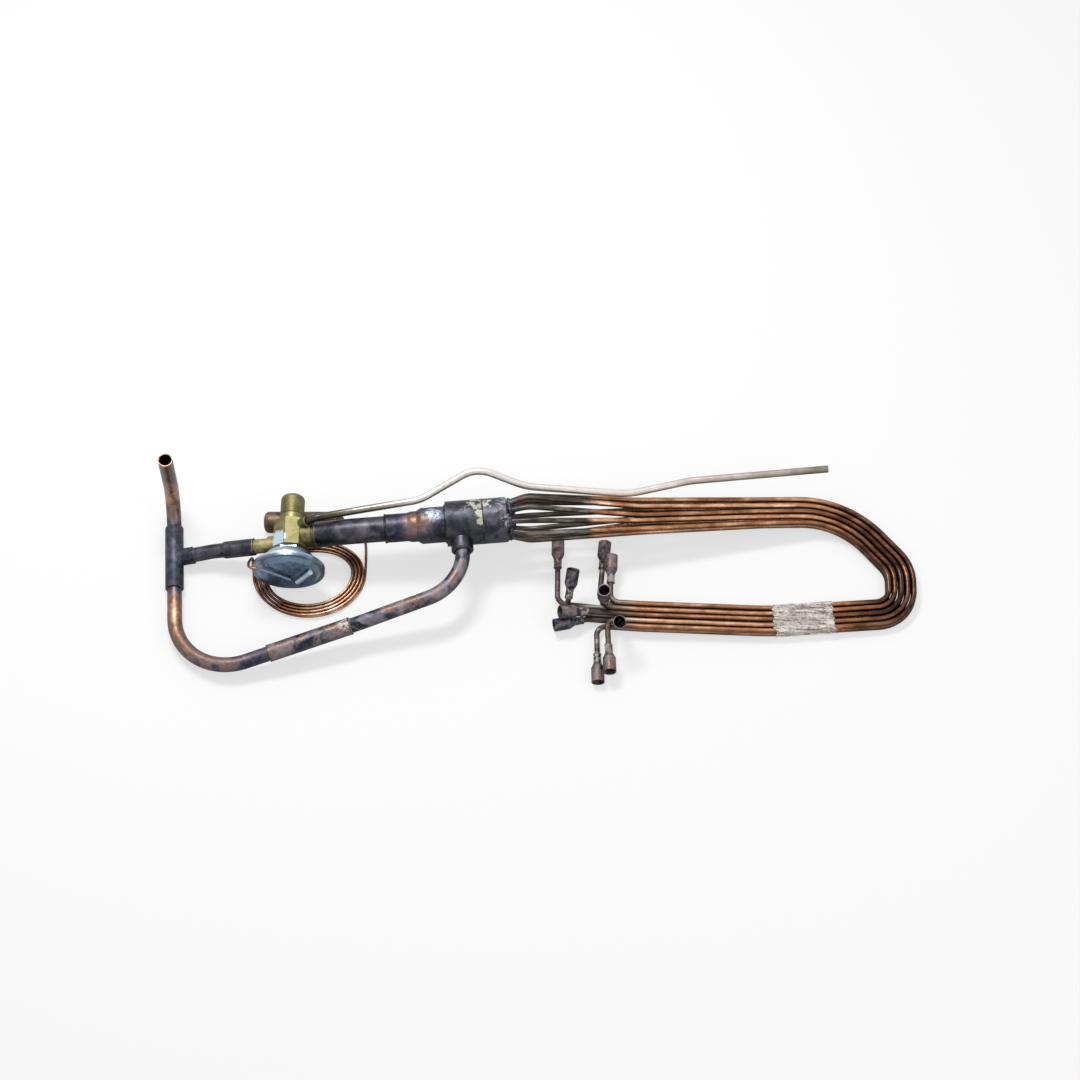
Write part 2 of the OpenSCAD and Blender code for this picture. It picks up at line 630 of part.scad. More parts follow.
module distributor_body() color("darkslategray") main_frame() difference() {
    rotate_extrude($fn = 96) polygon([
        [0, distributor_start], [distributor_d / 2, distributor_start],
        [distributor_d / 2, distributor_end - 8], [distributor_d / 2 - 1, distributor_end - 7],
        [distributor_d / 2 - 7, distributor_end], [0, distributor_end]
    ]);
    translate([0, 0, distributor_start - 1])
        cylinder(d = distributor_d - 6 + 2 * braze, h = 6.3, $fn = 96);
    translate([0, 0, distributor_start - 1])
        cylinder(d = nozzle_d + 2 * braze, h = counterbore_depth + 1, $fn = 96);
    translate([0, 0, nozzle_z - retainer_t - 0.2])
        cylinder(r = nozzle_d / 2 + 0.4, h = retainer_t + 0.2, $fn = 96);
    translate([0, 0, distributor_start + counterbore_depth - 1])
        cylinder(r1 = chamber_cone, r2 = 4, h = 7, $fn = fine);
    for (i = [0 : feeders - 1]) {
        a = hole_angle(i);
        d = [-sin(a) * sin(feeder_splay), cos(a) * sin(feeder_splay), cos(feeder_splay)];
        o = [-sin(a) * exit_r, cos(a) * exit_r, exit_s];
        along(o - d * socket_in, d) cylinder(d = feeder_d + 2 * braze, h = 20, $fn = fine);
        along(o - d * (socket_in + 7), d)
            cylinder(d = feeder_d - 2 * feeder_wall, h = 8, $fn = fine);
    }
}

// ---- Feeder tubes ----
function hole_angle(i) = feeder_angle * (i + 0.5);
function spoke(a) = main_left * cos(a) + [0, 0, 1] * sin(a);
function exit_dir(i) = main_dir * cos(feeder_splay) + spoke(hole_angle(i)) * sin(feeder_splay);
function exit_at(i) = elbow + main_dir * exit_s + spoke(hole_angle(i)) * exit_r;
function fan_at(i) = exit_at(i) + exit_dir(i) * 17;

// Centre of the bundle at each corner of its route, and the spacing of its tubes there.
route = [[85, 54.6, 33.5], [190, 65.2, 19.6], [265, 72.4, 8.6], [312.1, 16.4, 5.25],
         [310.4, -25.6, 5.25], [196, -34.5, 6.9], [84.4, -30.6, 8.3]];
spacing = [7.1, 5.8, 5.5, 5.5, 5.5, 5.4, 5.4];
route_bend = [120, 250, 74, 31, 24.4, 250, 120];
corners = len(route);
layer_rise = feeder_d / 2 + 0.27;

function slot(i) = i < feeders / 2 ? 2 - i : i - 7;
function layer(i) = i < feeders / 2 ? 1 : -1;
function flat_dir(a, b) = unit([b[0] - a[0], b[1] - a[1], 0]);
function left_of(d) = [-d[1], d[0], 0];
function route_in(k) = k == 0 ? main_dir : flat_dir(route[k - 1], route[k]);
function route_out(k) = k == corners - 1 ? route_in(k) : flat_dir(route[k], route[k + 1]);
function mitre(k) = let (n = left_of(route_in(k)) + left_of(route_out(k))) n * 2 / (n * n);
function wander(i, k) = (spacing[k] - feeder_d - tube_gap) / 2 * sin(137 * i + 71 * k);
function offset_at(i, k) = slot(i) * spacing[k] + wander(i, k);
function on_route(i, k) = route[k] + mitre(k) * offset_at(i, k) + [0, 0, layer(i) * layer_rise];

// Where each feeder leaves the bundle, and where the mouth of its end stub lies.
leave = [[66.5, -40, 11], [56, -34, 11], [43.5, -27.3, 11], [53.5, -22.8, 11], [59, -17.8, 11],
         [49.5, -15.4, 5.65], [13.5, -16.8, 5.65], [21, -25.6, 5.65], [39, -32, 5.65],
         [47, -38.6, 5.65]];
mouth = [[65.3, -53.8, 44.5], [57.5, -86, 14.5], [15.5, -33, 22], [52.7, -24.5, 45.5],
         [60.5, 25.5, 14.3], [55.5, 43, bell_d / 2], [14.3, 43.6, 7.5], [27, 1.4, 34],
         [10.5, -39.5, 9], [47.6, -91.6, bell_d / 2]];
leave_bend = [7.5, 8, 14, 8, 8, 8, 9, 7.5, 14, 8];

function mouth_dir(i) = unit(mouth[i] - leave[i]);
function stub_from(i) = mouth[i] - mouth_dir(i) * stub_length;
stub_insert = 8;

function feeder_path(i) = concat(
    [exit_at(i) - exit_dir(i) * socket_in, fan_at(i)],
    [for (k = [0 : corners - 1]) on_route(i, k)],
    [leave[i], stub_from(i) + mouth_dir(i) * stub_insert]);
function feeder_bends(i) = concat(
    [0, 25],
    [for (k = [0 : corners - 1]) route_bend[k] + (k >= 2 && k <= 4 ? offset_at(i, k) : 0)],
    [leave_bend[i], 0]);

module feeder_tube(i) color("chocolate")
    bent_tube(feeder_path(i), feeder_bends(i), feeder_d, feeder_d - 2 * feeder_wall);

neck_r = feeder_d / 2 + braze;
neck_wall = 0.95;
taper_z = stub_insert + 5;
bell_z = stub_length - bell_depth_in;

module feeder_stub(i) color("sienna") along(stub_from(i), mouth_dir(i)) rotate_extrude($fn = fine)
    polygon([
        [neck_r, 0], [neck_r + neck_wall, 0], [neck_r + neck_wall, stub_insert],
        [bell_d / 2, taper_z], [bell_d / 2, stub_length], [bell_bore / 2, stub_length],
        [bell_bore / 2, bell_z], [neck_r - 0.5, stub_insert + 0.6],
        [neck_r - 0.5, stub_insert + 0.05], [neck_r, stub_insert + 0.05]
    ]);

// ---- Film wrapped round the lower run of the bundle ----
wrap_dir = unit(route[5] - route[4]);
wrap_at = mix(route[4], route[5], 0.75) - wrap_dir * wrap_width / 2;
wrap_inner_w = 4 * 5.5 + feeder_d + 1.6;
wrap_inner_h = 2 * layer_rise + feeder_d + 0.7;

module stadium(w, h, r) hull() for (x = [-1, 1], y = [-1, 1])
    translate([x * (w / 2 - r), y * (h / 2 - r)]) circle(r = r, $fn = 24);

module bundle_wrap() color("whitesmoke") placed(wrap_at, across(wrap_dir), wrap_dir)
    linear_extrude(wrap_width) difference() {
        stadium(wrap_inner_w + 2 * wrap_t, wrap_inner_h + 2 * wrap_t, 3.4);
        stadium(wrap_inner_w, wrap_inner_h, 2.8);
    }

// ---- Capillary, bulb and equalizer line ----
coil_at = [-202.4, 14, 0];
coil_r = 49.6 - capillary_d / 2;
front_r = 43 - capillary_d / 2;
back_r = 35 - capillary_d / 2;
capillary_turns = 7.5;
half_turns = capillary_turns / 2;
lift = capillary_d + 0.5;
rings_per_turn = 24;
low_z = capillary_d / 2 + 0.1;

// Radius of the outer turn at angle a: round at the front and flatter at the back.
function coil_outer(a) = let (b = sin(a) > 0 ? back_r : front_r)
    coil_r * b / sqrt(pow(b * cos(a), 2) + pow(coil_r * sin(a), 2));
function coil_inset(u) = coil_pitch * (u < half_turns ? u : capillary_turns - u);
function coil_rise(u) = low_z + lift * smooth((u - half_turns + 0.25) / 0.5);
function coil_point(u) = let (a = -360 * u, r = coil_outer(a) - coil_inset(u))
    coil_at + [r * cos(a), r * sin(a), coil_rise(u)];
coil = [for (i = [0 : rings_per_turn * capillary_turns]) coil_point(i / rings_per_turn)];

bulb_at = [-244, 61.5, bulb_d / 2];
bulb_right = bulb_at + [bulb_length, 0, 0];
lead_in = [bulb_right + [-3, 0, 0], bulb_right + [-2, 0, 0], bulb_right + [1, 0, 0],
           [-163, 60, 8], [-156.5, 51, 3.8], [-154.2, 38, 1.7], coil[0], coil[1]];
lead_out = [coil[len(coil) - 3], coil[len(coil) - 1], [-251.6, 24, 11], [-251.4, 14, 27],
            [-250.8, 4, 38], [-247, -3.4, 46], [-238, -4.2, 44], [-226, -4.2, 35],
            [-214, -4.3, 24.6], [-208.4, -4.3, 22.2]];
capillary = concat([for (p = curve(lead_in, 5)) p], coil, [for (p = curve(lead_out, 4)) p]);

gap_stride = rings_per_turn - 2;
coil_gaps = [for (i = [0 : len(coil) - 1 - gap_stride], j = [i + gap_stride : len(coil) - 1])
    norm(coil[i] - coil[j])];
coil_gap = min(coil_gaps) - capillary_d;
echo(str("Least gap of the capillary coil to itself: ", coil_gap, " mm"));

module capillary_tube() color("sienna") swept_tube(capillary, capillary_d, 6);

module sensing_bulb() color("peru") translate(bulb_at) rotate([0, 90, 0]) difference() {
    rotate_extrude($fn = 96) polygon([
        [0, 0], [bulb_d / 2 - 4, 0.2], [bulb_d / 2 - 1.6, 1.2], [bulb_d / 2 - 0.5, 2.6],
        [bulb_d / 2, 4.6], [bulb_d / 2, bulb_length - 6], [bulb_d / 2 - 2, bulb_length - 3],
        [4, bulb_length], [0, bulb_length]
    ]);
    translate([0, 0, bulb_length - 4]) cylinder(d = capillary_d + 2 * braze, h = 5, $fn = fine);
}

eq_dir = [cos(45), 0, sin(45)];
eq_from = valve_at + [0, eq_z, 0] + eq_dir * (eq_boss_reach - 8);
eq_bend_r = [0, 9, 60, 40, 30, 60, 80, 80, 0];
eq_path = [eq_from, eq_from + eq_dir * 17, [-160, 51.5, 48], [-104.8, 58.5, 54], [-56.7, 85, 64],
           [-14, 71.5, 55], [75, 68.8, 46.5], [129, 82.3, 46], [249, 92, 50]];

module equalizer_line() color("rosybrown")
    bent_tube(eq_path, eq_bend_r, equalizer_d, equalizer_d - 2 * equalizer_wall);

centred() liquid_inlet_tube();
centred() inlet_tee();
centred() valve_inlet_tube();
centred() bypass_tube_lower();
centred() bypass_sleeve();
centred() bypass_tube_upper();
centred() valve_body();
centred() inlet_strainer();
centred() valve_seat();
centred() element_lower_housing();
centred() element_upper_housing();
centred() element_ferrule();
centred() diaphragm();
centred() buffer_plate();
centred() push_rods();
centred() pin_carrier();
centred() valve_pin();
centred() superheat_spring();
centred() spring_guide();
centred() adjusting_stem();
centred() stem_bonnet();
centred() stem_packing();
centred() packing_nut();
centred() cap_gasket();
centred() seal_cap();
centred() capillary_tube();
centred() sensing_bulb();
centred() equalizer_line();
centred() outlet_tube();
centred() outlet_adapter();
centred() side_connector();
centred() distributor_nozzle();
centred() nozzle_retaining_ring();
centred() distributor_body();
centred() bundle_wrap();
centred() feeder_tube(0);  // feeder_tube_01
centred() feeder_tube(1);  // feeder_tube_02
centred() feeder_tube(2);  // feeder_tube_03
centred() feeder_tube(3);  // feeder_tube_04
centred() feeder_tube(4);  // feeder_tube_05
centred() feeder_tube(5);  // feeder_tube_06
centred() feeder_tube(6);  // feeder_tube_07
centred() feeder_tube(7);  // feeder_tube_08
centred() feeder_tube(8);  // feeder_tube_09
centred() feeder_tube(9);  // feeder_tube_10
centred() feeder_stub(0);  // feeder_stub_01
centred() feeder_stub(1);  // feeder_stub_02
centred() feeder_stub(2);  // feeder_stub_03
centred() feeder_stub(3);  // feeder_stub_04
centred() feeder_stub(4);  // feeder_stub_05
centred() feeder_stub(5);  // feeder_stub_06
centred() feeder_stub(6);  // feeder_stub_07
centred() feeder_stub(7);  // feeder_stub_08
centred() feeder_stub(8);  // feeder_stub_09
centred() feeder_stub(9);  // feeder_stub_10
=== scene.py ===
"""Dresses the expansion valve and distributor assembly: finishes, braze joints, film and studio.

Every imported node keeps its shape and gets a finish. The wound capillary, the superheat spring and
the wrapped film are replaced by fuller pieces, and the brazing alloy at the joints is added.
"""

import json
import logging
import math
from dataclasses import dataclass, field
from enum import Enum
from functools import cached_property
from typing import ClassVar, Protocol, Sequence

import bpy
from mathutils import Matrix, Vector, noise

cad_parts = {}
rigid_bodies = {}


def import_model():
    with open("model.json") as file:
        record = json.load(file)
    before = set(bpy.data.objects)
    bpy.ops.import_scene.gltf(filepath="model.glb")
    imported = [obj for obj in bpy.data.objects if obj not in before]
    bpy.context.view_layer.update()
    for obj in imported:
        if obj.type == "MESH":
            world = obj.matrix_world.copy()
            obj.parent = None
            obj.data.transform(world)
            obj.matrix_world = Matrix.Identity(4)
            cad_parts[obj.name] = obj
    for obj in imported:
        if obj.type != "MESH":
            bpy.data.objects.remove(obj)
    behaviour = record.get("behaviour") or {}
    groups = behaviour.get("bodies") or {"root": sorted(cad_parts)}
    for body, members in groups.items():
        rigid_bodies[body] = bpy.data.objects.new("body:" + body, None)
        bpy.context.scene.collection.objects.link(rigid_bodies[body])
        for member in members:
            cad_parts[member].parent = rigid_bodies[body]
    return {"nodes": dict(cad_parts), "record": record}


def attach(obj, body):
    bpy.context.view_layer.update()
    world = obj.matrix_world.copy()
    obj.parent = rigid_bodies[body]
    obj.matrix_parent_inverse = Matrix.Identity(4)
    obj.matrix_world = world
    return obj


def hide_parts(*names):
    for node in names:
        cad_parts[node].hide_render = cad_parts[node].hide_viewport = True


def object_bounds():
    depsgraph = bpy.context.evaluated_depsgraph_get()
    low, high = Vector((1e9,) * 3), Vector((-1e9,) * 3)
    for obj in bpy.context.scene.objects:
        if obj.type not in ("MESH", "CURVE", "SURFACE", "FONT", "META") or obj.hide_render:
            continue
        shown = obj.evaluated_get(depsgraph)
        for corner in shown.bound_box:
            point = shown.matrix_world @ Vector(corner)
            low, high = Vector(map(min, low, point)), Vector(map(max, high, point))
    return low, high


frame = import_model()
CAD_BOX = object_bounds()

LOG = logging.getLogger("valve_assembly")
MM = 0.001
FIXED = "brazed_assembly"

Colour = tuple[float, float, float]
Stops = tuple[tuple[float, Colour], ...]


def tone(red: int, green: int, blue: int) -> Colour:
    """The linear colour of a display colour whose parts are given from 11 to 255."""
    return tuple(((part / 255 + 0.055) / 1.055) ** 2.4 for part in (red, green, blue))


def mm(x: float, y: float, z: float) -> Vector:
    """A point given in millimetres, in metres."""
    return Vector((x, y, z)) * MM


# ---------------------------------------------------------------------------------------------
# Where the main pieces lie
# ---------------------------------------------------------------------------------------------

UP = Vector((0.0, 0.0, 1.0))
ALONG_X = Vector((1.0, 0.0, 0.0))
ALONG_Y = Vector((0.0, 1.0, 0.0))

# The valve's axis runs along +Y from VALVE, and the stations on it are millimetres from there.
# Both ports lie along PORT, and the outlet's stub ends STUB_END millimetres out.
VALVE = mm(-214.1, -0.75, 31.0)
PORT = Vector((0.97618, 0.0, 0.21695))
INLET_STATION = 28.0
OUTLET_STATION = 33.0
BOSS_STATION = 40.5
STUB_END = 24.0

# The outlet line runs level along MAIN from the elbow, and its bypass port faces SIDE.
MAIN_YAW = math.radians(5.0)
MAIN = Vector((math.cos(MAIN_YAW), math.sin(MAIN_YAW), 0.0))
LEFT = Vector((-math.sin(MAIN_YAW), math.cos(MAIN_YAW), 0.0))
SIDE = -LEFT
ELBOW = mm(-165.291, 32.25, 41.849)
SIDE_PORT = mm(-64.81, 13.94, 41.85)

# The tee's run points away from the liquid stub, and its branch points to the valve.
TEE = mm(-317.445, 24.27, 8.0)
TEE_RUN = Vector((0.08716, -0.99619, 0.0))
TEE_BRANCH = Vector((0.97246, 0.08508, 0.21698))

# The bypass tube's sleeve ends here, on the straight that comes up from the bend.
SLEEVE_END = mm(-159.8, -49.45, 24.0)
SLEEVE_DIR = (SLEEVE_END - mm(-306.81, -97.27, 8.0)).normalized()

# The capillary is coiled round COIL, and the bulb runs along +X from BULB.
COIL = mm(-199.5, 12.25, 0.0)
BULB = mm(-241.1, 59.75, 9.5)
BULB_LENGTH = 70.0


def on_main(station: float, left: float = 0.0, up: float = 0.0) -> Vector:
    """A point by its station along the outlet line's axis and its offsets, all in millimetres."""
    return ELBOW + (MAIN * station + LEFT * left + UP * up) * MM


def on_valve(station: float, offset: Vector = Vector()) -> Vector:
    """A point by its station along the valve's axis, in millimetres, and an offset in metres."""
    return VALVE + ALONG_Y * station * MM + offset


def on_port(station: float, reach: float) -> Vector:
    """A point by the station of a port and the way out from the valve's axis, in millimetres."""
    return on_valve(station, PORT * reach * MM)


# ---------------------------------------------------------------------------------------------
# Shader graphs
# ---------------------------------------------------------------------------------------------


class Wire:
    """An output socket of a shader graph, on which arithmetic adds Math nodes."""

    def __init__(self, graph: "Graph", socket: bpy.types.NodeSocket) -> None:
        """Holds the socket and the graph that it belongs to."""
        self.graph = graph
        self.socket = socket

    def __add__(self, other: "Wire | float") -> "Wire":
        """Self plus other."""
        return self.graph.maths("ADD", self, other)

    __radd__ = __add__

    def __sub__(self, other: "Wire | float") -> "Wire":
        """Self minus other."""
        return self.graph.maths("SUBTRACT", self, other)

    def __rsub__(self, other: float) -> "Wire":
        """Other minus self."""
        return self.graph.maths("SUBTRACT", other, self)

    def __mul__(self, other: "Wire | float") -> "Wire":
        """Self times other."""
        return self.graph.maths("MULTIPLY", self, other)

    __rmul__ = __mul__

    def __truediv__(self, other: float) -> "Wire":
        """Self divided by other."""
        return self.graph.maths("DIVIDE", self, other)

    def above(self, edge: float, width: float) -> "Wire":
        """0 well below the edge and 1 well above it, with a ramp of that width between."""
        return self.graph.maths("ADD", (self - edge) / width, 0.5, clamp=True)

    def below(self, edge: float, width: float) -> "Wire":
        """1 well below the edge and 0 well above it, with a ramp of that width between."""
        return 1.0 - self.above(edge, width)

    def clamped(self) -> "Wire":
        """Self, held between 0 and 1."""
        return self.graph.maths("ADD", self, 0.0, clamp=True)


class Graph:
    """The node tree of a material or a world, built up one node at a time."""

    def __init__(self, owner: bpy.types.Material | bpy.types.World) -> None:
        """Empties the owner's node tree.

        Args:
            owner: a new material or world.
        """
        self.owner = owner
        owner.use_nodes = True
        self.tree = owner.node_tree
        self.tree.nodes.clear()

    @cached_property
    def place(self) -> Wire:
        """Object coordinates, from one node that every pattern shares."""
        return self.node("ShaderNodeTexCoord", {}, {}, "Object")

    def node(
        self, kind: str, settings: dict[str, object], sockets: dict[int | str, object],
        output: int | str = 0,
    ) -> Wire | None:
        """Adds one node.

        Args:
            kind: the node's type name.
            settings: its properties, set first; "stops" fills a colour ramp.
            sockets: values or wires for its inputs.
            output: the output to hand back.

        Returns:
            The wire from that output, or None from a node that has no output.
        """
        made = self.tree.nodes.new(kind)
        for key, value in settings.items():
            if key == "stops":
                self._fill_ramp(made.color_ramp, value)
            else:
                setattr(made, key, value)
        for key, value in sockets.items():
            if isinstance(value, Wire):
                self.tree.links.new(value.socket, made.inputs[key])
            else:
                made.inputs[key].default_value = value
        return Wire(self, made.outputs[output]) if made.outputs else None

    @staticmethod
    def _fill_ramp(ramp: bpy.types.ColorRamp, stops: Stops) -> None:
        """Writes the stops of a colour ramp.

        Args:
            ramp: the ramp of a new node, which has two stops.
            stops: positions and colours, from low to high.
        """
        while len(ramp.elements) < len(stops):
            ramp.elements.new(1.0)
        for element, (position, colour) in zip(ramp.elements, stops):
            element.position = position
            element.color = rgba(colour)

    def maths(self, operation: str, a: Wire | float, b: Wire | float, clamp: bool = False) -> Wire:
        """A Math node on two numbers."""
        return self.node("ShaderNodeMath", {"operation": operation, "use_clamp": clamp}, {0: a, 1: b})

    def noise(self, size: float, detail: float = 3.0, warp: float = 0.0, place: Wire | None = None) -> Wire:
        """Noise with features about size metres across, mostly between 0.3 and 0.7."""
        sockets = {"Vector": place or self.place, "Scale": 1.0 / size, "Detail": detail, "Distortion": warp}
        return self.node("ShaderNodeTexNoise", {}, sockets, "Fac")

    def stretched(self, scale: tuple[float, float, float]) -> Wire:
        """Object coordinates times a scale on each axis."""
        return self.node("ShaderNodeMapping", {}, {"Vector": self.place, "Scale": scale})

    def axis(self, name: str) -> Wire:
        """The X, Y or Z coordinate, in metres."""
        return self.node("ShaderNodeSeparateXYZ", {}, {0: self.place}, name)

    def upward(self) -> Wire:
        """How far the surface faces up: 1 on top of a level tube, 0 on its sides and -1 below."""
        normal = self.node("ShaderNodeTexCoord", {}, {}, "Normal")
        return self.node("ShaderNodeSeparateXYZ", {}, {0: normal}, "Z")

    def distance(self, centre: Vector) -> Wire:
        """Distance from a point, in metres."""
        settings = {"operation": "DISTANCE"}
        return self.node("ShaderNodeVectorMath", settings, {0: self.place, 1: tuple(centre)}, "Value")

    def ramp(self, factor: Wire, stops: Stops) -> Wire:
        """Colours along a ramp."""
        return self.node("ShaderNodeValToRGB", {"stops": stops}, {"Fac": factor})

    def mix(self, factor: Wire | float, a: Wire | Colour, b: Wire | Colour) -> Wire:
        """Colour a at factor 0 and colour b at factor 1."""
        return self.node("ShaderNodeMix", {"data_type": "RGBA"}, {0: factor, 6: rgba(a), 7: rgba(b)}, 2)

    def bump(self, height: Wire, depth: float) -> Wire:
        """A normal from a height between 0 and 1 that stands for depth metres."""
        return self.node("ShaderNodeBump", {}, {"Height": height, "Distance": depth, "Strength": 1.0})

    def surface(self, **sockets: "Wire | float | Colour") -> bpy.types.Material:
        """Ends the graph in a Principled shader.

        Args:
            sockets: inputs by name, with underscores for spaces.

        Returns:
            The finished material.
        """
        named = {key.replace("_", " "): rgba(value) for key, value in sockets.items()}
        shader = self.node("ShaderNodeBsdfPrincipled", {}, named)
        self.node("ShaderNodeOutputMaterial", {}, {"Surface": shader})
        return self.owner


def rgba(value: "Wire | float | Colour") -> "Wire | float | tuple[float, ...]":
    """A colour with its alpha, and anything else as it is."""
    return (*value, 1.0) if isinstance(value, tuple) else value


# ---------------------------------------------------------------------------------------------
# Finishes
# ---------------------------------------------------------------------------------------------


class Finish(Protocol):
    """Anything that can make a material."""

    def material(self) -> bpy.types.Material:
        """Makes the material."""


class Tint(Enum):
    """What a metal turns to as a torch heats it, from clean at 0 to scaled at 1."""

    COPPER = (
        (0.00, tone(216, 176, 152)),
        (0.20, tone(168, 124, 98)),
        (0.36, tone(108, 84, 70)),
        (0.48, tone(126, 106, 104)),
        (0.60, tone(84, 78, 90)),
        (0.74, tone(38, 45, 62)),
        (0.88, tone(25, 28, 36)),
        (1.00, tone(104, 104, 106)),
    )
    FEEDER = (
        (0.00, tone(236, 202, 176)),
        (0.25, tone(176, 126, 90)),
        (0.45, tone(124, 80, 52)),
        (0.65, tone(82, 48, 30)),
        (0.82, tone(50, 30, 21)),
        (1.00, tone(38, 26, 21)),
    )
    EQUALIZER = (
        (0.00, tone(222, 214, 208)),
        (0.25, tone(188, 178, 170)),
        (0.50, tone(142, 134, 122)),
        (0.75, tone(88, 82, 68)),
        (1.00, tone(42, 41, 40)),
    )
    BRASS = (
        (0.00, tone(206, 196, 150)),
        (0.30, tone(146, 138, 92)),
        (0.60, tone(106, 98, 60)),
        (0.82, tone(70, 62, 40)),
        (1.00, tone(44, 40, 34)),
    )
    STEEL = (
        (0.00, tone(216, 228, 238)),
        (0.30, tone(158, 176, 194)),
        (0.60, tone(110, 130, 150)),
        (0.80, tone(74, 92, 112)),
        (1.00, tone(46, 58, 74)),
    )
    SCALE = (
        (0.00, tone(136, 128, 130)),
        (0.30, tone(84, 81, 88)),
        (0.55, tone(48, 50, 57)),
        (0.80, tone(27, 29, 36)),
        (1.00, tone(18, 19, 23)),
    )


@dataclass(frozen=True)
class HeatSpot:
    """Where the torch was held: the heat falls off to nothing at reach."""

    centre: Vector
    reach: float
    strength: float

    def heat(self, graph: Graph) -> Wire:
        """The heat that it adds at each point."""
        return graph.distance(self.centre).below(self.reach / 2, self.reach) * self.strength


@dataclass(frozen=True)
class Patch:
    """Something that lies on the metal, such as flux or bright solder, out to a ragged edge; a patch can
    also be a painted highlight.

    Attributes:
        centre: the middle of the patch.
        reach: the way from there to its edge, in metres.
        colour: its colour.
        metallic: how metallic it is.
        ragged: how far the edge wanders, as a share of the reach.
        broken: whether the metal shows through in places.
    """

    centre: Vector
    reach: float
    colour: Colour
    metallic: float = 0.1
    ragged: float = 0.7
    broken: bool = False
    edge_size: ClassVar[float] = 2.6 * MM
    hole_size: ClassVar[float] = 3.4 * MM

    def mask(self, graph: Graph) -> Wire:
        """Where the patch lies.

        Args:
            graph: the graph of the metal's material.

        Returns:
            1 on the patch and 0 off it.
        """
        wander = (graph.noise(self.edge_size) - 0.5) * (self.reach * self.ragged * 2)
        mask = (graph.distance(self.centre) + wander).below(self.reach * 0.8, self.reach * 0.18)
        if self.broken:
            mask = mask * graph.noise(self.hole_size, 4.0, 0.8).above(0.5, 0.1)
        return mask


@dataclass(frozen=True)
class HeatedMetal:
    """Metal that a torch has tinted, with blotches, specks, haze and what was left on it, with painted
    shade on its underside and a painted highlight along its top.

    Attributes:
        name: name of the material.
        tint: the colours that heat gives the metal.
        heat: the heat all over, from 0 to 1.
        blotch: how far the heat varies from place to place.
        blotch_size: how large the blotches are, in metres.
        spots: where the torch was held.
        patches: what lies on the metal, and painted highlights.
        haze: how much a dull film hides the metal, where there is one.
        haze_colour: the colour of that film.
        metallic: how metallic the clean metal is.
        roughness: how rough it is.
        relief: the height that the grain stands for, in metres.
        underside_shade: how much painted shade darkens the underside.
        top_highlight: how far the top is lightened, as a painted highlight.
    """

    name: str
    tint: Tint
    heat: float
    blotch: float = 0.5
    blotch_size: float = 0.012
    spots: tuple[HeatSpot, ...] = ()
    patches: tuple[Patch, ...] = ()
    haze: float = 0.25
    haze_colour: Colour = tone(150, 150, 146)
    metallic: float = 0.85
    roughness: float = 0.36
    relief: float = 0.014 * MM
    underside_shade: float = 0.55
    top_highlight: float = 0.10
    grain_size: ClassVar[float] = 0.9 * MM
    # The colour of the painted shade on the underside.
    underside_shade_colour: ClassVar[Colour] = tone(26, 20, 18)
    speck_colour: ClassVar[Colour] = tone(38, 34, 34)

    def heat_field(self, graph: Graph) -> Wire:
        """How hot each point was.

        Args:
            graph: the graph to build in.

        Returns:
            The heat, from 0 to 1.
        """
        large = graph.noise(self.blotch_size, 4.0, 0.6) - 0.5
        small = graph.noise(self.blotch_size * 0.22) - 0.5
        heat = large * (self.blotch * 1.6) + self.heat + small * (self.blotch * 0.5)
        # Painted highlight: along faces that turn up the heat drops, which lightens the colour.
        heat = heat - graph.upward().above(0.9, 0.16) * self.top_highlight
        for spot in self.spots:
            heat = heat + spot.heat(graph)
        return heat.clamped()

    def colour_field(self, graph: Graph) -> Wire:
        """The metal's colour before anything lies on it."""
        return graph.ramp(self.heat_field(graph), self.tint.value)

    def dull_field(self, graph: Graph) -> Wire | float:
        """How far dull scale hides the metal's shine: nowhere, unless a finish says where."""
        return 0.0

    def material(self) -> bpy.types.Material:
        """Builds the material: the tinted metal, then haze, painted shade on the underside, specks and
        patches over it.

        Returns:
            The material.
        """
        graph = Graph(bpy.data.materials.new(self.name))
        film = graph.noise(self.blotch_size * 1.7, 5.0, 1.2).above(0.56, 0.16) * self.haze
        # Painted shade: faces that turn down are darkened towards a dark brown.
        under = graph.upward().below(0.34, 0.9) * self.underside_shade
        grain = graph.noise(self.grain_size, 4.0)
        specks = grain.above(0.66, 0.06) * 0.5
        dull = self.dull_field(graph)
        colour = graph.mix(film, self.colour_field(graph), self.haze_colour)
        colour = graph.mix(under, colour, self.underside_shade_colour)
        colour = graph.mix(specks, colour, self.speck_colour)
        metal = self.metallic - film * 0.5 - specks * 0.4 - dull * 0.45
        rough = grain * 0.16 + (self.roughness - 0.06) + film * 0.25 + dull * 0.2
        height = grain * 0.6
        for patch in self.patches:
            mask = patch.mask(graph)
            colour = graph.mix(mask, colour, patch.colour)
            metal = metal - mask * (self.metallic - patch.metallic)
            rough = rough + mask * 0.12
            height = height + mask * 1.6
        return graph.surface(
            Base_Color=colour, Metallic=metal.clamped(), Roughness=rough.clamped(),
            Normal=graph.bump(height, self.relief),
        )


@dataclass(frozen=True)
class Alloy(HeatedMetal):
    """Brazing alloy: marks like those of the metal round it, at the smaller scale of a bead."""

    blotch: float = 0.7
    blotch_size: float = 0.004
    roughness: float = 0.42


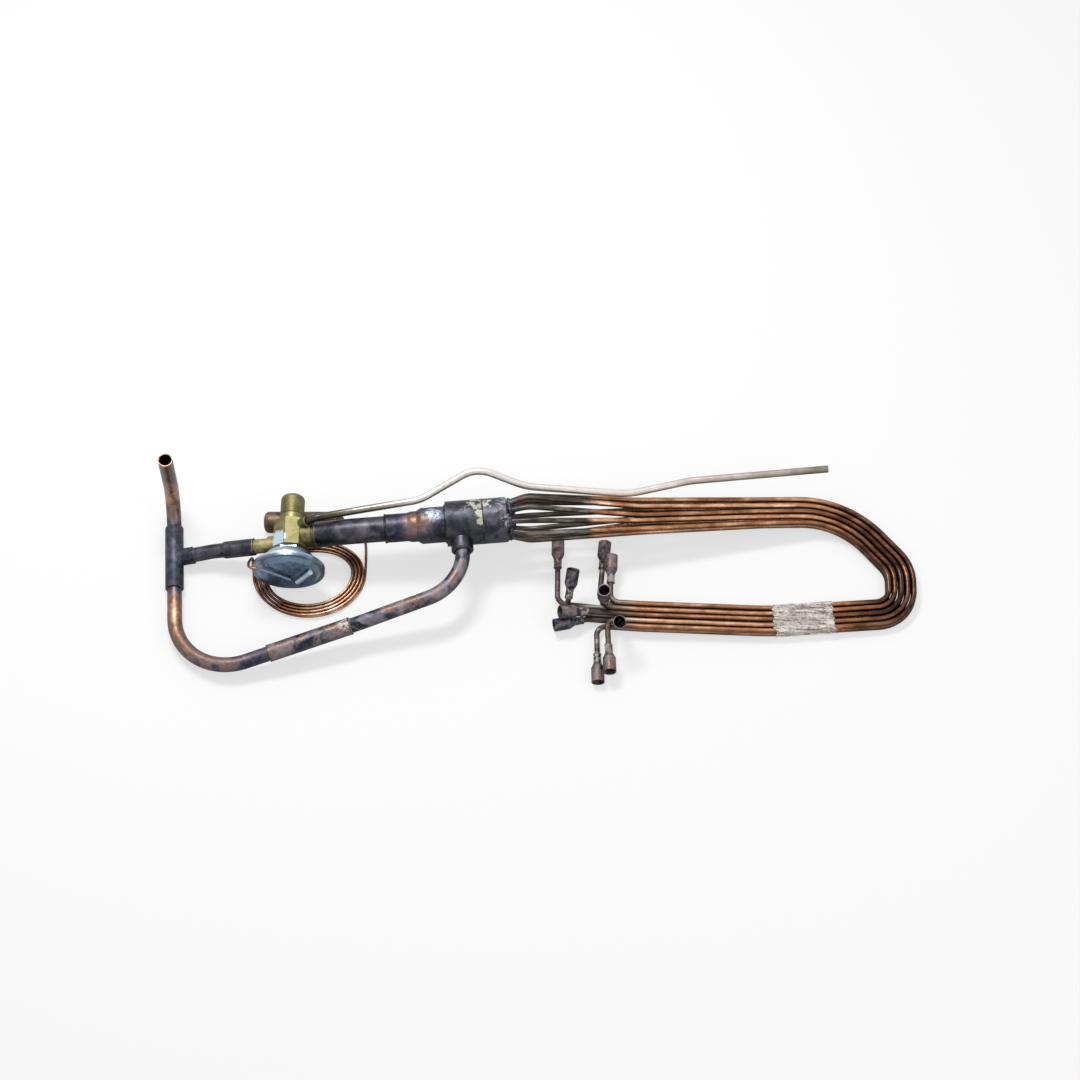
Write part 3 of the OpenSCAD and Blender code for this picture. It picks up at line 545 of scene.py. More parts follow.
@dataclass(frozen=True)
class ElementSteel(HeatedMetal):
    """Zinc-plated steel of the element, whose flat face carries a painted reflection, dark with lighter
    streaks, inside its bright rim.
    """

    face_station: float = -2.5
    face_radius: float = 24.4
    face_reflection_dark: Colour = tone(56, 82, 108)
    face_reflection_light: Colour = tone(124, 156, 184)

    def colour_field(self, graph: Graph) -> Wire:
        """Steel, with a painted reflection over the flat face: dark, with lighter streaks.

        Args:
            graph: the graph to build in.

        Returns:
            The colour before anything lies on it.
        """
        steel = super().colour_field(graph)
        middle = on_valve(self.face_station)
        on_face = (graph.axis("Y") - middle.y).below(0.0, 0.4 * MM)
        inside = graph.distance(middle).below(self.face_radius * MM, 1.2 * MM)
        # Painted reflection: a dark face with lighter streaks, standing in for what the plated face
        # mirrors.
        reflection_streaks = graph.noise(9.0 * MM, 4.0, 1.4).above(0.5, 0.4)
        dark = graph.mix(reflection_streaks, self.face_reflection_dark, self.face_reflection_light)
        return graph.mix(on_face * inside * 0.92, steel, dark)


@dataclass(frozen=True)
class FeederCopper(HeatedMetal):
    """Copper of a feeder: scaled grey by the distributor, brown along the run, dark by its stub.

    Attributes:
        grey_to: the X up to which the torch's scale runs from the distributor, in metres.
        stub_from: the X up to which it runs from the stubs.
        midline: the Y that parts the run out from the run back.
        bend_from: the X past which the bend carries painted shade.
        bend_shade: how much that painted shade darkens it.
    """

    grey_to: float = 0.046
    stub_from: float = 0.076
    midline: float = 0.024
    bend_from: float = 0.280
    bend_shade: float = 0.46
    rose_ash: ClassVar[Stops] = (
        (0.36, tone(24, 23, 23)),
        (0.52, tone(62, 60, 55)),
        (0.70, tone(140, 137, 129)),
    )
    stub_ash: ClassVar[Stops] = (
        (0.36, tone(34, 30, 30)),
        (0.54, tone(78, 72, 70)),
        (0.70, tone(160, 152, 146)),
    )
    collar_colour: ClassVar[Colour] = tone(40, 44, 58)

    def heat_field(self, graph: Graph) -> Wire:
        """Heat with long streaks, raised round the bend as painted shade.

        Args:
            graph: the graph to build in.

        Returns:
            The heat, from 0 to 1.
        """
        streak = graph.noise(4.0 * MM, 3.0, 0.4, graph.stretched((0.10, 0.8, 0.8)))
        # Painted shade: the bend's inner side lies in shadow, so its heat, and with it the colour, is
        # raised there.
        bend = graph.axis("X").above(self.bend_from, 0.07) * self.bend_shade
        return (super().heat_field(graph) + (streak - 0.5) * 0.7 + bend).clamped()

    def ends(self, graph: Graph) -> tuple[Wire, Wire, Wire]:
        """Where the torch reached at both ends of the tube.

        Args:
            graph: the graph to build in.

        Returns:
            The X with a ragged edge added, a mask of the distributor's end and one of the stub's.
        """
        along = graph.axis("X") + (graph.noise(5.0 * MM) - 0.5) * 0.012
        across = graph.axis("Y")
        by_rose = along.below(self.grey_to, 0.008) * across.above(self.midline, 0.01)
        by_stub = along.below(self.stub_from, 0.03) * across.below(self.midline, 0.01)
        return along, by_rose, by_stub

    def dull_field(self, graph: Graph) -> Wire:
        """Scale at both ends, dullest by the stub."""
        _, by_rose, by_stub = self.ends(graph)
        return by_stub + by_rose * 0.35

    def colour_field(self, graph: Graph) -> Wire:
        """Brown copper, with grey scale over the torch's reach at both ends.

        Args:
            graph: the graph to build in.

        Returns:
            The colour before anything lies on it.
        """
        along, by_rose, by_stub = self.ends(graph)
        ash = graph.noise(3.6 * MM, 3.0, 0.3, graph.stretched((0.10, 0.9, 0.9)))
        collar = along.below(-0.008, 0.014) * 0.75
        rose_grey = graph.mix(collar, graph.ramp(ash, self.rose_ash), self.collar_colour)
        colour = graph.mix(by_rose * 0.94, super().colour_field(graph), rose_grey)
        return graph.mix(by_stub * 0.92, colour, graph.ramp(ash, self.stub_ash))


@dataclass(frozen=True)
class CrinkledFilm:
    """Thin clear film, milky where its folds lie over each other."""

    name: str
    colour: Colour = tone(246, 239, 234)
    shade: Colour = tone(142, 120, 104)
    damp: Colour = tone(142, 140, 130)

    def material(self) -> bpy.types.Material:
        """Builds the material: long creases, fine wrinkles and thin streaks along the bundle.

        Returns:
            The material.
        """
        graph = Graph(bpy.data.materials.new(self.name))
        creases = graph.noise(4.0 * MM, 4.0, 0.9, graph.stretched((0.22, 1.7, 1.7)))
        fine = graph.noise(1.4 * MM, 3.0, 0.8, graph.stretched((0.7, 1.2, 1.2)))
        fold = (creases * 0.55 + fine * 0.45).above(0.48, 0.16)
        thin = graph.noise(5.0 * MM, 3.0, 0.3, graph.stretched((0.13, 1.5, 1.5))).above(0.52, 0.14)
        colour = graph.mix(fold, self.shade, self.colour)
        return graph.surface(
            Base_Color=graph.mix(thin * 0.4, colour, self.damp), Roughness=fine * 0.3 + 0.12,
            Alpha=fold * 0.36 + 0.56 - thin * 0.24, IOR=1.48,
            Normal=graph.bump(creases * 0.8 + fine * 0.2, 0.3 * MM),
        )


@dataclass(frozen=True)
class Rubber:
    """Black packing with a fine grain."""

    name: str
    colour: Colour = tone(40, 40, 42)
    dust: Colour = tone(66, 64, 64)

    def material(self) -> bpy.types.Material:
        """Builds the material.

        Returns:
            The material.
        """
        graph = Graph(bpy.data.materials.new(self.name))
        grain = graph.noise(0.6 * MM, 4.0)
        colour = graph.mix(grain.above(0.5, 0.4), self.colour, self.dust)
        return graph.surface(
            Base_Color=colour, Roughness=grain * 0.3 + 0.5, Normal=graph.bump(grain, 0.05 * MM)
        )


@dataclass(frozen=True)
class Sweep:
    """Plain matt floor that the camera sees paler than the light on it alone would make it."""

    name: str
    colour: Colour = (0.92, 0.92, 0.92)
    glow: Colour = (1.0, 1.0, 1.0)
    lift: float = 0.6

    def material(self) -> bpy.types.Material:
        """Builds the material.

        Returns:
            The material.
        """
        graph = Graph(bpy.data.materials.new(self.name))
        seen = graph.node("ShaderNodeLightPath", {}, {}, "Is Camera Ray") * self.lift
        matt = graph.node("ShaderNodeBsdfDiffuse", {}, {"Color": rgba(self.colour)})
        pale = graph.node("ShaderNodeEmission", {}, {"Color": rgba(self.glow), "Strength": 1.0})
        both = graph.node("ShaderNodeMixShader", {}, {0: seen, 1: matt, 2: pale})
        graph.node("ShaderNodeOutputMaterial", {}, {"Surface": both})
        return graph.owner


# ---------------------------------------------------------------------------------------------
# Bench: modelling steps that several sub-assemblies use
# ---------------------------------------------------------------------------------------------


class Bench:
    """Adds primitives, finishes them and hands them over to the bodies they ride on."""

    weld: ClassVar[float] = 0.001 * MM

    @staticmethod
    def clear() -> None:
        """Deselects everything, so that an operator acts on what is added next."""
        bpy.ops.object.select_all(action="DESELECT")

    @staticmethod
    def settle(name: str) -> bpy.types.Object:
        """Names the primitive that was added last and puts its place into its mesh.

        Args:
            name: name of the piece.

        Returns:
            The piece.
        """
        piece = bpy.context.object
        piece.name = name
        piece.data.name = name
        bpy.ops.object.transform_apply(location=True, rotation=True, scale=True)
        return piece

    @staticmethod
    def roughen(piece: bpy.types.Object, size: float, depth: float) -> None:
        """Makes a piece lumpy with cloud noise.

        Args:
            piece: the piece, which is the active object.
            size: how large the lumps are, in metres.
            depth: how high they stand, in metres.
        """
        clouds = bpy.data.textures.new(piece.name + "_clouds", "CLOUDS")
        clouds.noise_scale = size
        bend = piece.modifiers.new("lumps", "DISPLACE")
        bend.texture = clouds
        bend.strength = depth
        bend.mid_level = 0.5
        bpy.ops.object.modifier_apply(modifier=bend.name)

    @staticmethod
    def tube(name: str, path: Sequence[Vector], radius: float, sides: int = 12) -> bpy.types.Object:
        """Sweeps a round tube with closed ends along a path.

        Args:
            name: name of the piece.
            path: points of the centre line, in metres.
            radius: outer radius in metres.
            sides: facets round the tube.

        Returns:
            The tube as a mesh object.
        """
        line = bpy.data.curves.new(name, "CURVE")
        line.dimensions = "3D"
        line.bevel_depth = radius
        line.bevel_resolution = max(1, sides // 4 - 1)
        line.use_fill_caps = True
        spline = line.splines.new("POLY")
        spline.points.add(len(path) - 1)
        for point, place in zip(spline.points, path):
            point.co = (*place, 1.0)
        swept = bpy.data.objects.new(name, line)
        bpy.context.collection.objects.link(swept)
        Bench.clear()
        swept.select_set(True)
        bpy.context.view_layer.objects.active = swept
        bpy.ops.object.convert(target="MESH")
        piece = bpy.context.object
        bpy.ops.object.mode_set(mode="EDIT")
        bpy.ops.mesh.select_all(action="SELECT")
        bpy.ops.mesh.remove_doubles(threshold=Bench.weld)
        bpy.ops.mesh.normals_make_consistent(inside=False)
        bpy.ops.object.mode_set(mode="OBJECT")
        bpy.ops.object.shade_smooth()
        return piece

    @staticmethod
    def copy_to(pattern: bpy.types.Object, name: str, place: Matrix) -> bpy.types.Object:
        """Copies a pattern with its own mesh.

        Args:
            pattern: the piece to copy, modelled at the origin.
            name: name of the copy.
            place: the matrix that moves the copy's mesh.

        Returns:
            The copy.
        """
        mesh = pattern.data.copy()
        mesh.name = name
        mesh.transform(place)
        piece = bpy.data.objects.new(name, mesh)
        bpy.context.collection.objects.link(piece)
        return piece

    @staticmethod
    def hand_over(
        piece: bpy.types.Object, material: bpy.types.Material, slot: str, body: str = FIXED
    ) -> None:
        """Gives a new piece its finish and its place in the assembly.

        Args:
            piece: the new piece.
            material: its finish.
            slot: not used.
            body: the body that it rides on.
        """
        piece.data.materials.clear()
        piece.data.materials.append(material)
        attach(piece, body)

    @staticmethod
    def dress(finish: Finish, *nodes: str) -> None:
        """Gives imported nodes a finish.

        Args:
            finish: the finish, made once for all of them.
            nodes: names of the nodes.
        """
        material = finish.material()
        for node in nodes:
            target = frame["nodes"][node]
            if not target.material_slots:
                target.data.materials.append(material)
            for place in target.material_slots:
                place.material = material
            LOG.info("%s: finished as %s", node, material.name)


def facing(centre: Vector, direction: Vector, turn: float = 0.0) -> Matrix:
    """The matrix that puts an origin at centre and its Z along direction, turned about it."""
    spin = Matrix.Rotation(turn, 4, "Z")
    return Matrix.Translation(centre) @ direction.to_track_quat("Z", "Y").to_matrix().to_4x4() @ spin


@dataclass(frozen=True)
class Bead:
    """A ring of brazing alloy round a joint.

    Attributes:
        name: name of the piece.
        centre: the middle of the ring, in metres.
        direction: the axis of the ring.
        radius: radius of its centre line, in millimetres.
        thickness: radius of its section, in millimetres.
    """

    name: str
    centre: Vector
    direction: Vector
    radius: float
    thickness: float


@dataclass
class BeadMaker:
    """Models one lumpy ring for each radius and thickness, and copies it to every such joint.

    Attributes:
        around: facets round the ring.
        across: facets round its section.
        lumps: size of each kind of lump in millimetres, and its height as a share of the thickness.
        turn_step: how much further each copy is turned than the last, in radians.
        patterns: the rings modelled so far.
        made: how many beads are laid.
    """

    around: int = 56
    across: int = 12
    lumps: tuple[tuple[float, float], ...] = ((2.2, 0.7), (0.8, 0.25))
    turn_step: float = 1.7
    patterns: dict[tuple[float, float], bpy.types.Object] = field(default_factory=dict)
    made: int = 0

    def pattern(self, radius: float, thickness: float) -> bpy.types.Object:
        """The ring of that size, modelled on its first use.

        Args:
            radius: radius of the ring's centre line, in millimetres.
            thickness: radius of the ring's section, in millimetres.

        Returns:
            The pattern, which copies are taken from.
        """
        key = (radius, thickness)
        if key not in self.patterns:
            Bench.clear()
            bpy.ops.mesh.primitive_torus_add(
                major_radius=radius * MM, minor_radius=thickness * MM,
                major_segments=self.around, minor_segments=self.across,
            )
            ring = Bench.settle(f"bead_pattern_{len(self.patterns) + 1}")
            for size, height in self.lumps:
                Bench.roughen(ring, size * MM, thickness * height * MM)
            bpy.ops.object.shade_smooth()
            self.patterns[key] = ring
        return self.patterns[key]

    def lay(self, bead: Bead, material: bpy.types.Material, slot: str = "oxidised_copper") -> None:
        """Lays one bead on its joint.

        Args:
            bead: the bead.
            material: its finish.
            slot: its material slot.
        """
        place = facing(bead.centre, bead.direction, self.turn_step * self.made)
        ring = Bench.copy_to(self.pattern(bead.radius, bead.thickness), bead.name, place)
        Bench.hand_over(ring, material, slot)
        self.made += 1

    def put_away(self) -> None:
        """Removes the patterns once every joint has its bead."""
        for ring in self.patterns.values():
            bpy.data.objects.remove(ring)


@dataclass(frozen=True)
class Nub:
    """A drop of alloy that ran and froze.

    Attributes:
        name: name of the piece.
        centre: the middle of the drop, in metres.
        normal: the direction that it stands up in.
        width: its width, in millimetres.
        height: its height over its middle, in millimetres.
    """

    name: str
    centre: Vector
    normal: Vector
    width: float
    height: float

    def lay(self, material: bpy.types.Material) -> None:
        """Models the drop as a flattened, lumpy ball and lays it on its surface.

        Args:
            material: its finish.
        """
        Bench.clear()
        bpy.ops.mesh.primitive_ico_sphere_add(subdivisions=4, radius=1.0)
        bpy.context.object.scale = (self.width / 2 * MM, self.width / 2 * MM, self.height * MM)
        drop = Bench.settle(self.name)
        Bench.roughen(drop, self.width * 0.5 * MM, self.height * 0.5 * MM)
        bpy.ops.object.shade_smooth()
        drop.data.transform(facing(self.centre, self.normal))
        Bench.hand_over(drop, material, "oxidised_copper")


# ---------------------------------------------------------------------------------------------
# Sub-assemblies
# ---------------------------------------------------------------------------------------------


@dataclass
class LiquidLine:
    """The liquid stub, its tee, the tube to the valve and the bypass tube with its sleeve.

    Attributes:
        beads: the maker of the beads.
        reach: the way from the tee's middle to either end of its run, in millimetres.
        branch_reach: the way to the end of its branch, in millimetres.
        sleeve_length: length of the sleeve, in millimetres.
    """

    beads: BeadMaker
    reach: float = 29.5
    branch_reach: float = 17.0
    sleeve_length: float = 72.0

    @property
    def run_up(self) -> Vector:
        """The tee's mouth towards the liquid stub."""
        return TEE - TEE_RUN * self.reach * MM

    @property
    def run_down(self) -> Vector:
        """The tee's mouth towards the bypass tube."""
        return TEE + TEE_RUN * self.reach * MM

    @property
    def branch(self) -> Vector:
        """The tee's mouth towards the valve."""
        return TEE + TEE_BRANCH * self.branch_reach * MM

    @property
    def sleeve_start(self) -> Vector:
        """The sleeve's lower end."""
        return SLEEVE_END - SLEEVE_DIR * self.sleeve_length * MM

    def build(self) -> None:
        """Dresses the tubes and lays the joints' beads."""
        self.dress_feed()
        self.dress_bypass()
        self.lay_beads()

    def dress_feed(self) -> None:
        """Gives the stub, the tee and the valve's tube their own heat marks."""
        riser = HeatedMetal(
            "copper_riser", Tint.COPPER, heat=0.34, blotch=0.5, blotch_size=0.011,
            spots=(
                HeatSpot(self.run_up, 36 * MM, 0.66),
                HeatSpot(mm(-320.5, 77.0, 24.0), 34 * MM, -0.42),
                HeatSpot(mm(-318.1, 77.75, 86.0), 40 * MM, 0.14),
            ),
        )
        tee = HeatedMetal(
            "copper_tee", Tint.COPPER, heat=0.69, blotch=0.30, blotch_size=0.009,
            haze=0.4, haze_colour=tone(84, 86, 94), metallic=0.6, roughness=0.44, top_highlight=0.04,
            spots=(
                HeatSpot(self.run_up, 22 * MM, 0.12),
                HeatSpot(self.run_down, 32 * MM, 0.16),
                HeatSpot(self.branch, 14 * MM, 0.1),
            ),
        )
        inlet = HeatedMetal(
            "copper_valve_inlet", Tint.SCALE, heat=0.46, blotch=0.5, blotch_size=0.01,
            haze=0.2, haze_colour=tone(122, 116, 126),
            spots=(
                HeatSpot(self.branch, 14 * MM, -0.2),
                HeatSpot(on_port(INLET_STATION, -44.0), 24 * MM, 0.2),
            ),
        )
        Bench.dress(riser, "liquid_inlet_tube")
        Bench.dress(tee, "inlet_tee")
        Bench.dress(inlet, "valve_inlet_tube")

    def dress_bypass(self) -> None:
        """Gives both halves of the bypass tube and their sleeve their own heat marks."""
        flux = tone(196, 194, 178)
        on_sleeve = SLEEVE_END - SLEEVE_DIR * 5 * MM + UP * 7.5 * MM
        lower = HeatedMetal(
            "copper_bypass_lower", Tint.COPPER, heat=0.38, blotch=0.46, blotch_size=0.013,
            haze=0.4, haze_colour=tone(118, 108, 104), metallic=0.75, roughness=0.42,
            spots=(
                HeatSpot(self.run_down, 20 * MM, 0.6),
                HeatSpot(mm(-314.8, -20.0, 8.0), 32 * MM, -0.20),
                HeatSpot(self.sleeve_start, 90 * MM, 0.34),
            ),
        )
        sleeve = HeatedMetal(
            "copper_sleeve", Tint.COPPER, heat=0.58, blotch=0.78, blotch_size=0.009,
            haze=0.6, haze_colour=tone(140, 134, 142), metallic=0.75, roughness=0.4,
            patches=(Patch(on_sleeve, 7 * MM, flux, broken=True),),
        )
        upper = HeatedMetal(
            "copper_bypass_upper", Tint.COPPER, heat=0.57, blotch=0.72, blotch_size=0.011,
            haze=0.6, haze_colour=tone(152, 145, 150), metallic=0.75, roughness=0.4,
            spots=(
                HeatSpot(SIDE_PORT, 44 * MM, 0.3),
                HeatSpot(SLEEVE_END, 46 * MM, 0.32),
            ),
            patches=(Patch(mm(-118.0, -30.0, 42.0), 6 * MM, tone(206, 200, 178), broken=True),),
        )
        Bench.dress(lower, "bypass_tube_lower")
        Bench.dress(sleeve, "bypass_sleeve")
        Bench.dress(upper, "bypass_tube_upper")

    def lay_beads(self) -> None:
        """Lays a bead at each joint of the line, and the drop at the sleeve's far end."""
        dark = Alloy("alloy_dark", Tint.SCALE, heat=0.5).material()
        warm = Alloy("alloy_warm", Tint.COPPER, heat=0.58, haze=0.5).material()
        joints = (
            (Bead("tee_bead_upper", self.run_up, TEE_RUN, 7.0, 0.95), dark),
            (Bead("tee_bead_lower", self.run_down, TEE_RUN, 7.0, 0.95), dark),
            (Bead("tee_bead_branch", self.branch, TEE_BRANCH, 6.8, 0.85), dark),
            (Bead("inlet_bead", on_port(INLET_STATION, -33.0), PORT, 6.8, 0.85), warm),
            (Bead("sleeve_bead_lower", self.sleeve_start, SLEEVE_DIR, 6.8, 0.85), warm),
            (Bead("sleeve_bead_upper", SLEEVE_END, SLEEVE_DIR, 6.8, 0.95), warm),
            (Bead("side_port_bead", SIDE_PORT, SIDE, 7.6, 1.5), dark),
        )
        for bead, material in joints:
            self.beads.lay(bead, material)
        Nub("sleeve_drop", SLEEVE_END + (UP * 6.0 - SIDE * 2.0) * MM, UP, 5.0, 2.0).lay(warm)


@dataclass
class Valve:
    """Brass body with its cap, and the pieces inside. Sizes are millimetres.

    Attributes:
        beads: the maker of the beads.
        spring_first: the station where the spring's wire begins.
        spring_last: the station where it ends.
        spring_radius: radius of its centre line.
        wire_radius: radius of the wire.
        curls: how many curls it has.
        curl_steps: how many points each curl has.
    """

    beads: BeadMaker
    spring_first: float = 37.8
    spring_last: float = 43.4
    spring_radius: float = 5.4
    wire_radius: float = 0.6
    curls: int = 4
    curl_steps: int = 40

    def build(self) -> None:
        """Dresses the body and its insides, winds the spring and lays the beads."""
        self.dress_body()
        self.dress_insides()
        self.wind_spring()
        self.lay_beads()

    def dress_body(self) -> None:
        """Gives the brass its heat marks near the brazed ports, and a painted highlight on its facet by the
        element.
        """
        body = HeatedMetal(
            "brass_body", Tint.BRASS, heat=0.47, blotch=0.5, blotch_size=0.011,
            haze=0.3, haze_colour=tone(146, 144, 126), roughness=0.44, underside_shade=0.4,
            spots=(
                HeatSpot(on_port(OUTLET_STATION, STUB_END), 18 * MM, 0.32),
                HeatSpot(on_port(36.0, 14.0), 14 * MM, 0.12),
                HeatSpot(on_valve(BOSS_STATION, mm(15.5, 0.0, 15.5)), 9 * MM, 0.5),
                HeatSpot(on_port(INLET_STATION, -28.0), 18 * MM, -0.2),
            ),
            patches=(
                # Painted highlight: a bright steel-coloured patch on the body's lower left facet, standing
                # in for a reflection.
                Patch(on_valve(25.5, mm(-9.8, 0.0, 11.0)), 10.5 * MM, tone(196, 210, 220), 0.85, 0.4),
            ),
        )
        cap = HeatedMetal(
            "brass_cap", Tint.BRASS, heat=0.60, blotch=0.42, blotch_size=0.013,
            haze=0.35, haze_colour=tone(122, 122, 102), roughness=0.44, underside_shade=0.4,
        )
        Bench.dress(body, "valve_body", "stem_bonnet", "packing_nut")
        Bench.dress(cap, "seal_cap")

    def dress_insides(self) -> None:
        """Gives the steel pieces inside a machined finish, and the seals a rubber one."""
        steel = HeatedMetal(
            "steel_machined", Tint.STEEL, heat=0.22, blotch=0.2, blotch_size=0.006,
            haze=0.05, roughness=0.28,
        )
        Bench.dress(
            steel, "inlet_strainer", "valve_seat", "buffer_plate", "push_rods", "pin_carrier", "valve_pin",
            "superheat_spring", "spring_guide", "adjusting_stem", "diaphragm",
        )
        Bench.dress(Rubber("packing_black"), "stem_packing", "cap_gasket")

    def wind_spring(self) -> None:
        """Winds the superheat spring as a round wire along the helix that it follows."""
        count = self.curls * self.curl_steps
        path = []
        for i in range(count + 1):
            angle = math.tau * i / self.curl_steps
            station = self.spring_first + (self.spring_last - self.spring_first) * i / count
            spoke = PORT * math.cos(angle) + PORT.cross(ALONG_Y) * math.sin(angle)
            path.append(on_valve(station, spoke * self.spring_radius * MM))
        spring = Bench.tube("superheat_spring_wire", path, self.wire_radius * MM)
        steel = HeatedMetal(
            "spring_steel", Tint.STEEL, heat=0.4, blotch=0.2, blotch_size=0.006, roughness=0.3
        )
        Bench.hand_over(spring, steel.material(), "stainless_steel", "spring_guide")
        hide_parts("superheat_spring")

    def lay_beads(self) -> None:
        """Lays the beads round the outlet stub and the equalizer boss."""
        alloy = Alloy("alloy_brass", Tint.BRASS, heat=0.72, blotch=0.5, haze=0.4).material()
        boss = Vector((math.cos(math.radians(45)), 0.0, math.sin(math.radians(45))))
        stub_end = on_port(OUTLET_STATION, STUB_END)
        self.beads.lay(Bead("outlet_stub_bead", stub_end, PORT, 10.3, 1.0), alloy)
        boss_end = on_valve(BOSS_STATION, boss * 22 * MM)
        self.beads.lay(Bead("equalizer_boss_bead", boss_end, boss, 4.0, 0.9), alloy)


@dataclass
class Element:
    """The pressed-steel element, its welded rim and the ferrule on its face.

    Attributes:
        beads: the maker of the beads.
        rim_station: the station of the rim on the valve's axis, in millimetres.
        rim_radius: radius of the rim, in millimetres.
        weld_radius: radius of the weld's section, in millimetres.
    """

    beads: BeadMaker
    rim_station: float = 2.0
    rim_radius: float = 30.6
    weld_radius: float = 0.3

    def build(self) -> None:
        """Dresses the housings and lays the weld."""
        upper = ElementSteel(
            "steel_upper_housing", Tint.STEEL, heat=0.60, blotch=0.4, blotch_size=0.018,
            haze=0.1, roughness=0.3, underside_shade=0.06,
        )
        lower = HeatedMetal(
            "steel_lower_housing", Tint.STEEL, heat=0.30, blotch=0.5, blotch_size=0.016,
            haze=0.16, haze_colour=tone(170, 180, 186), roughness=0.28, underside_shade=0.3,
            spots=(HeatSpot(on_port(12.0, 24.0), 22 * MM, 0.4),),
        )
        ferrule = HeatedMetal(
            "steel_ferrule", Tint.STEEL, heat=0.05, blotch=0.3, blotch_size=0.005,
            haze=0.3, roughness=0.3, underside_shade=0.2,
        )
        Bench.dress(upper, "element_upper_housing")
        Bench.dress(lower, "element_lower_housing")
        Bench.dress(ferrule, "element_ferrule")
        self.lay_weld()

    def lay_weld(self) -> None:
        """Lays the fine weld that closes the rim."""
        finish = Alloy("steel_weld", Tint.STEEL, heat=0.3, blotch=0.6, blotch_size=0.003, roughness=0.34)
        weld = Bead("rim_weld", on_valve(self.rim_station), ALONG_Y, self.rim_radius, self.weld_radius)
        self.beads.lay(weld, finish.material(), "plated_steel")


@dataclass
class OutletLine:
    """The outlet tube, its adapter, the side connector and the distributor on one axis.

    Attributes:
        beads: the maker of the beads.
        adapter_in: the station of the adapter's inlet, in millimetres.
        adapter_out: the station of its outlet.
        rose: the station where the distributor meets the side connector.
    """

    beads: BeadMaker
    adapter_in: float = 34.0
    adapter_out: float = 86.0
    rose: float = 118.0

    def build(self) -> None:
        """Dresses the line and lays its beads and drops."""
        self.dress_tubes()
        self.dress_fittings()
        self.lay_beads()

    def dress_tubes(self) -> None:
        """Gives the outlet tube and the adapter the rings that the torch left on them."""
        solder = on_main(76.0, 3.0, 15.2)
        outlet = HeatedMetal(
            "copper_outlet", Tint.SCALE, heat=0.60, blotch=0.6, blotch_size=0.013,
            haze=0.35, haze_colour=tone(128, 120, 134),
            spots=(
                HeatSpot(on_port(OUTLET_STATION, 26.0), 20 * MM, 0.35),
                HeatSpot(on_port(OUTLET_STATION, 46.0), 9 * MM, 0.4),
                HeatSpot(on_main(self.adapter_in), 18 * MM, 0.5),
            ),
        )
        adapter = HeatedMetal(
            "copper_adapter", Tint.COPPER, heat=0.72, blotch=0.42, blotch_size=0.010,
            haze=0.06, roughness=0.42,
            spots=(
                HeatSpot(on_main(38.0), 24 * MM, 0.12),
                HeatSpot(on_main(61.0, -3.0, 8.0), 18 * MM, -0.44),
                HeatSpot(on_main(self.adapter_out), 18 * MM, 0.14),
            ),
            patches=(
                Patch(solder, 9.5 * MM, tone(112, 116, 138), 0.7),
                Patch(solder, 8.5 * MM, tone(206, 210, 222), 0.7, broken=True),
            ),
        )
        Bench.dress(outlet, "outlet_tube")
        Bench.dress(adapter, "outlet_adapter")

    def dress_fittings(self) -> None:
        """Gives the side connector and the distributor dark scale with flux and alloy on it."""
        connector = HeatedMetal(
            "brass_connector", Tint.SCALE, heat=0.56, blotch=0.5, blotch_size=0.011,
            haze=0.3, haze_colour=tone(92, 98, 104),
            patches=(
                Patch(on_main(114.0, 9.0, 17.4), 9.5 * MM, tone(188, 188, 174), broken=True),
                Patch(on_main(116.0, -3.0, 19.4), 4.6 * MM, tone(198, 194, 172)),
                Patch(on_main(115.5, -9.5, 17.4), 4.2 * MM, tone(186, 184, 160)),
                Patch(on_main(104.0, 2.0, 19.5), 5.0 * MM, tone(120, 122, 118), broken=True),
            ),
        )
        distributor = HeatedMetal(
            "brass_distributor", Tint.SCALE, heat=0.50, blotch=0.7, blotch_size=0.008,
            haze=0.45, haze_colour=tone(100, 108, 124),
            patches=(
                Patch(on_main(121.0, 8.0, 17.8), 7.0 * MM, tone(196, 194, 180), broken=True),
                Patch(on_main(136.0, 8.0, 16.8), 7.0 * MM, tone(150, 154, 168), 0.4, broken=True),
                Patch(on_main(138.0, -10.0, 16.0), 7.0 * MM, tone(150, 150, 160), 0.4, broken=True),
            ),
        )
        ring = HeatedMetal("steel_ring", Tint.STEEL, heat=0.4, blotch=0.3, blotch_size=0.006)
        Bench.dress(connector, "side_connector")
        Bench.dress(distributor, "distributor_body", "distributor_nozzle")
        Bench.dress(ring, "nozzle_retaining_ring")

    def lay_beads(self) -> None:
        """Lays a bead at each joint on the axis and a bright drop on the adapter."""
        black = Alloy("alloy_black", Tint.SCALE, heat=0.78, blotch=0.4, roughness=0.4).material()
        bright = Alloy("alloy_bright", Tint.STEEL, heat=0.3, haze=0.4, roughness=0.34).material()
        self.beads.lay(Bead("adapter_bead_inlet", on_main(self.adapter_in), MAIN, 11.7, 1.1), black)
        self.beads.lay(Bead("adapter_bead_outlet", on_main(self.adapter_out), MAIN, 15.8, 1.3), black)
        self.beads.lay(Bead("distributor_bead", on_main(self.rose), MAIN, 19.2, 0.7), black)
        Nub("adapter_drop", on_main(74.0, 1.0, 15.4), UP, 6.0, 0.7).lay(bright)


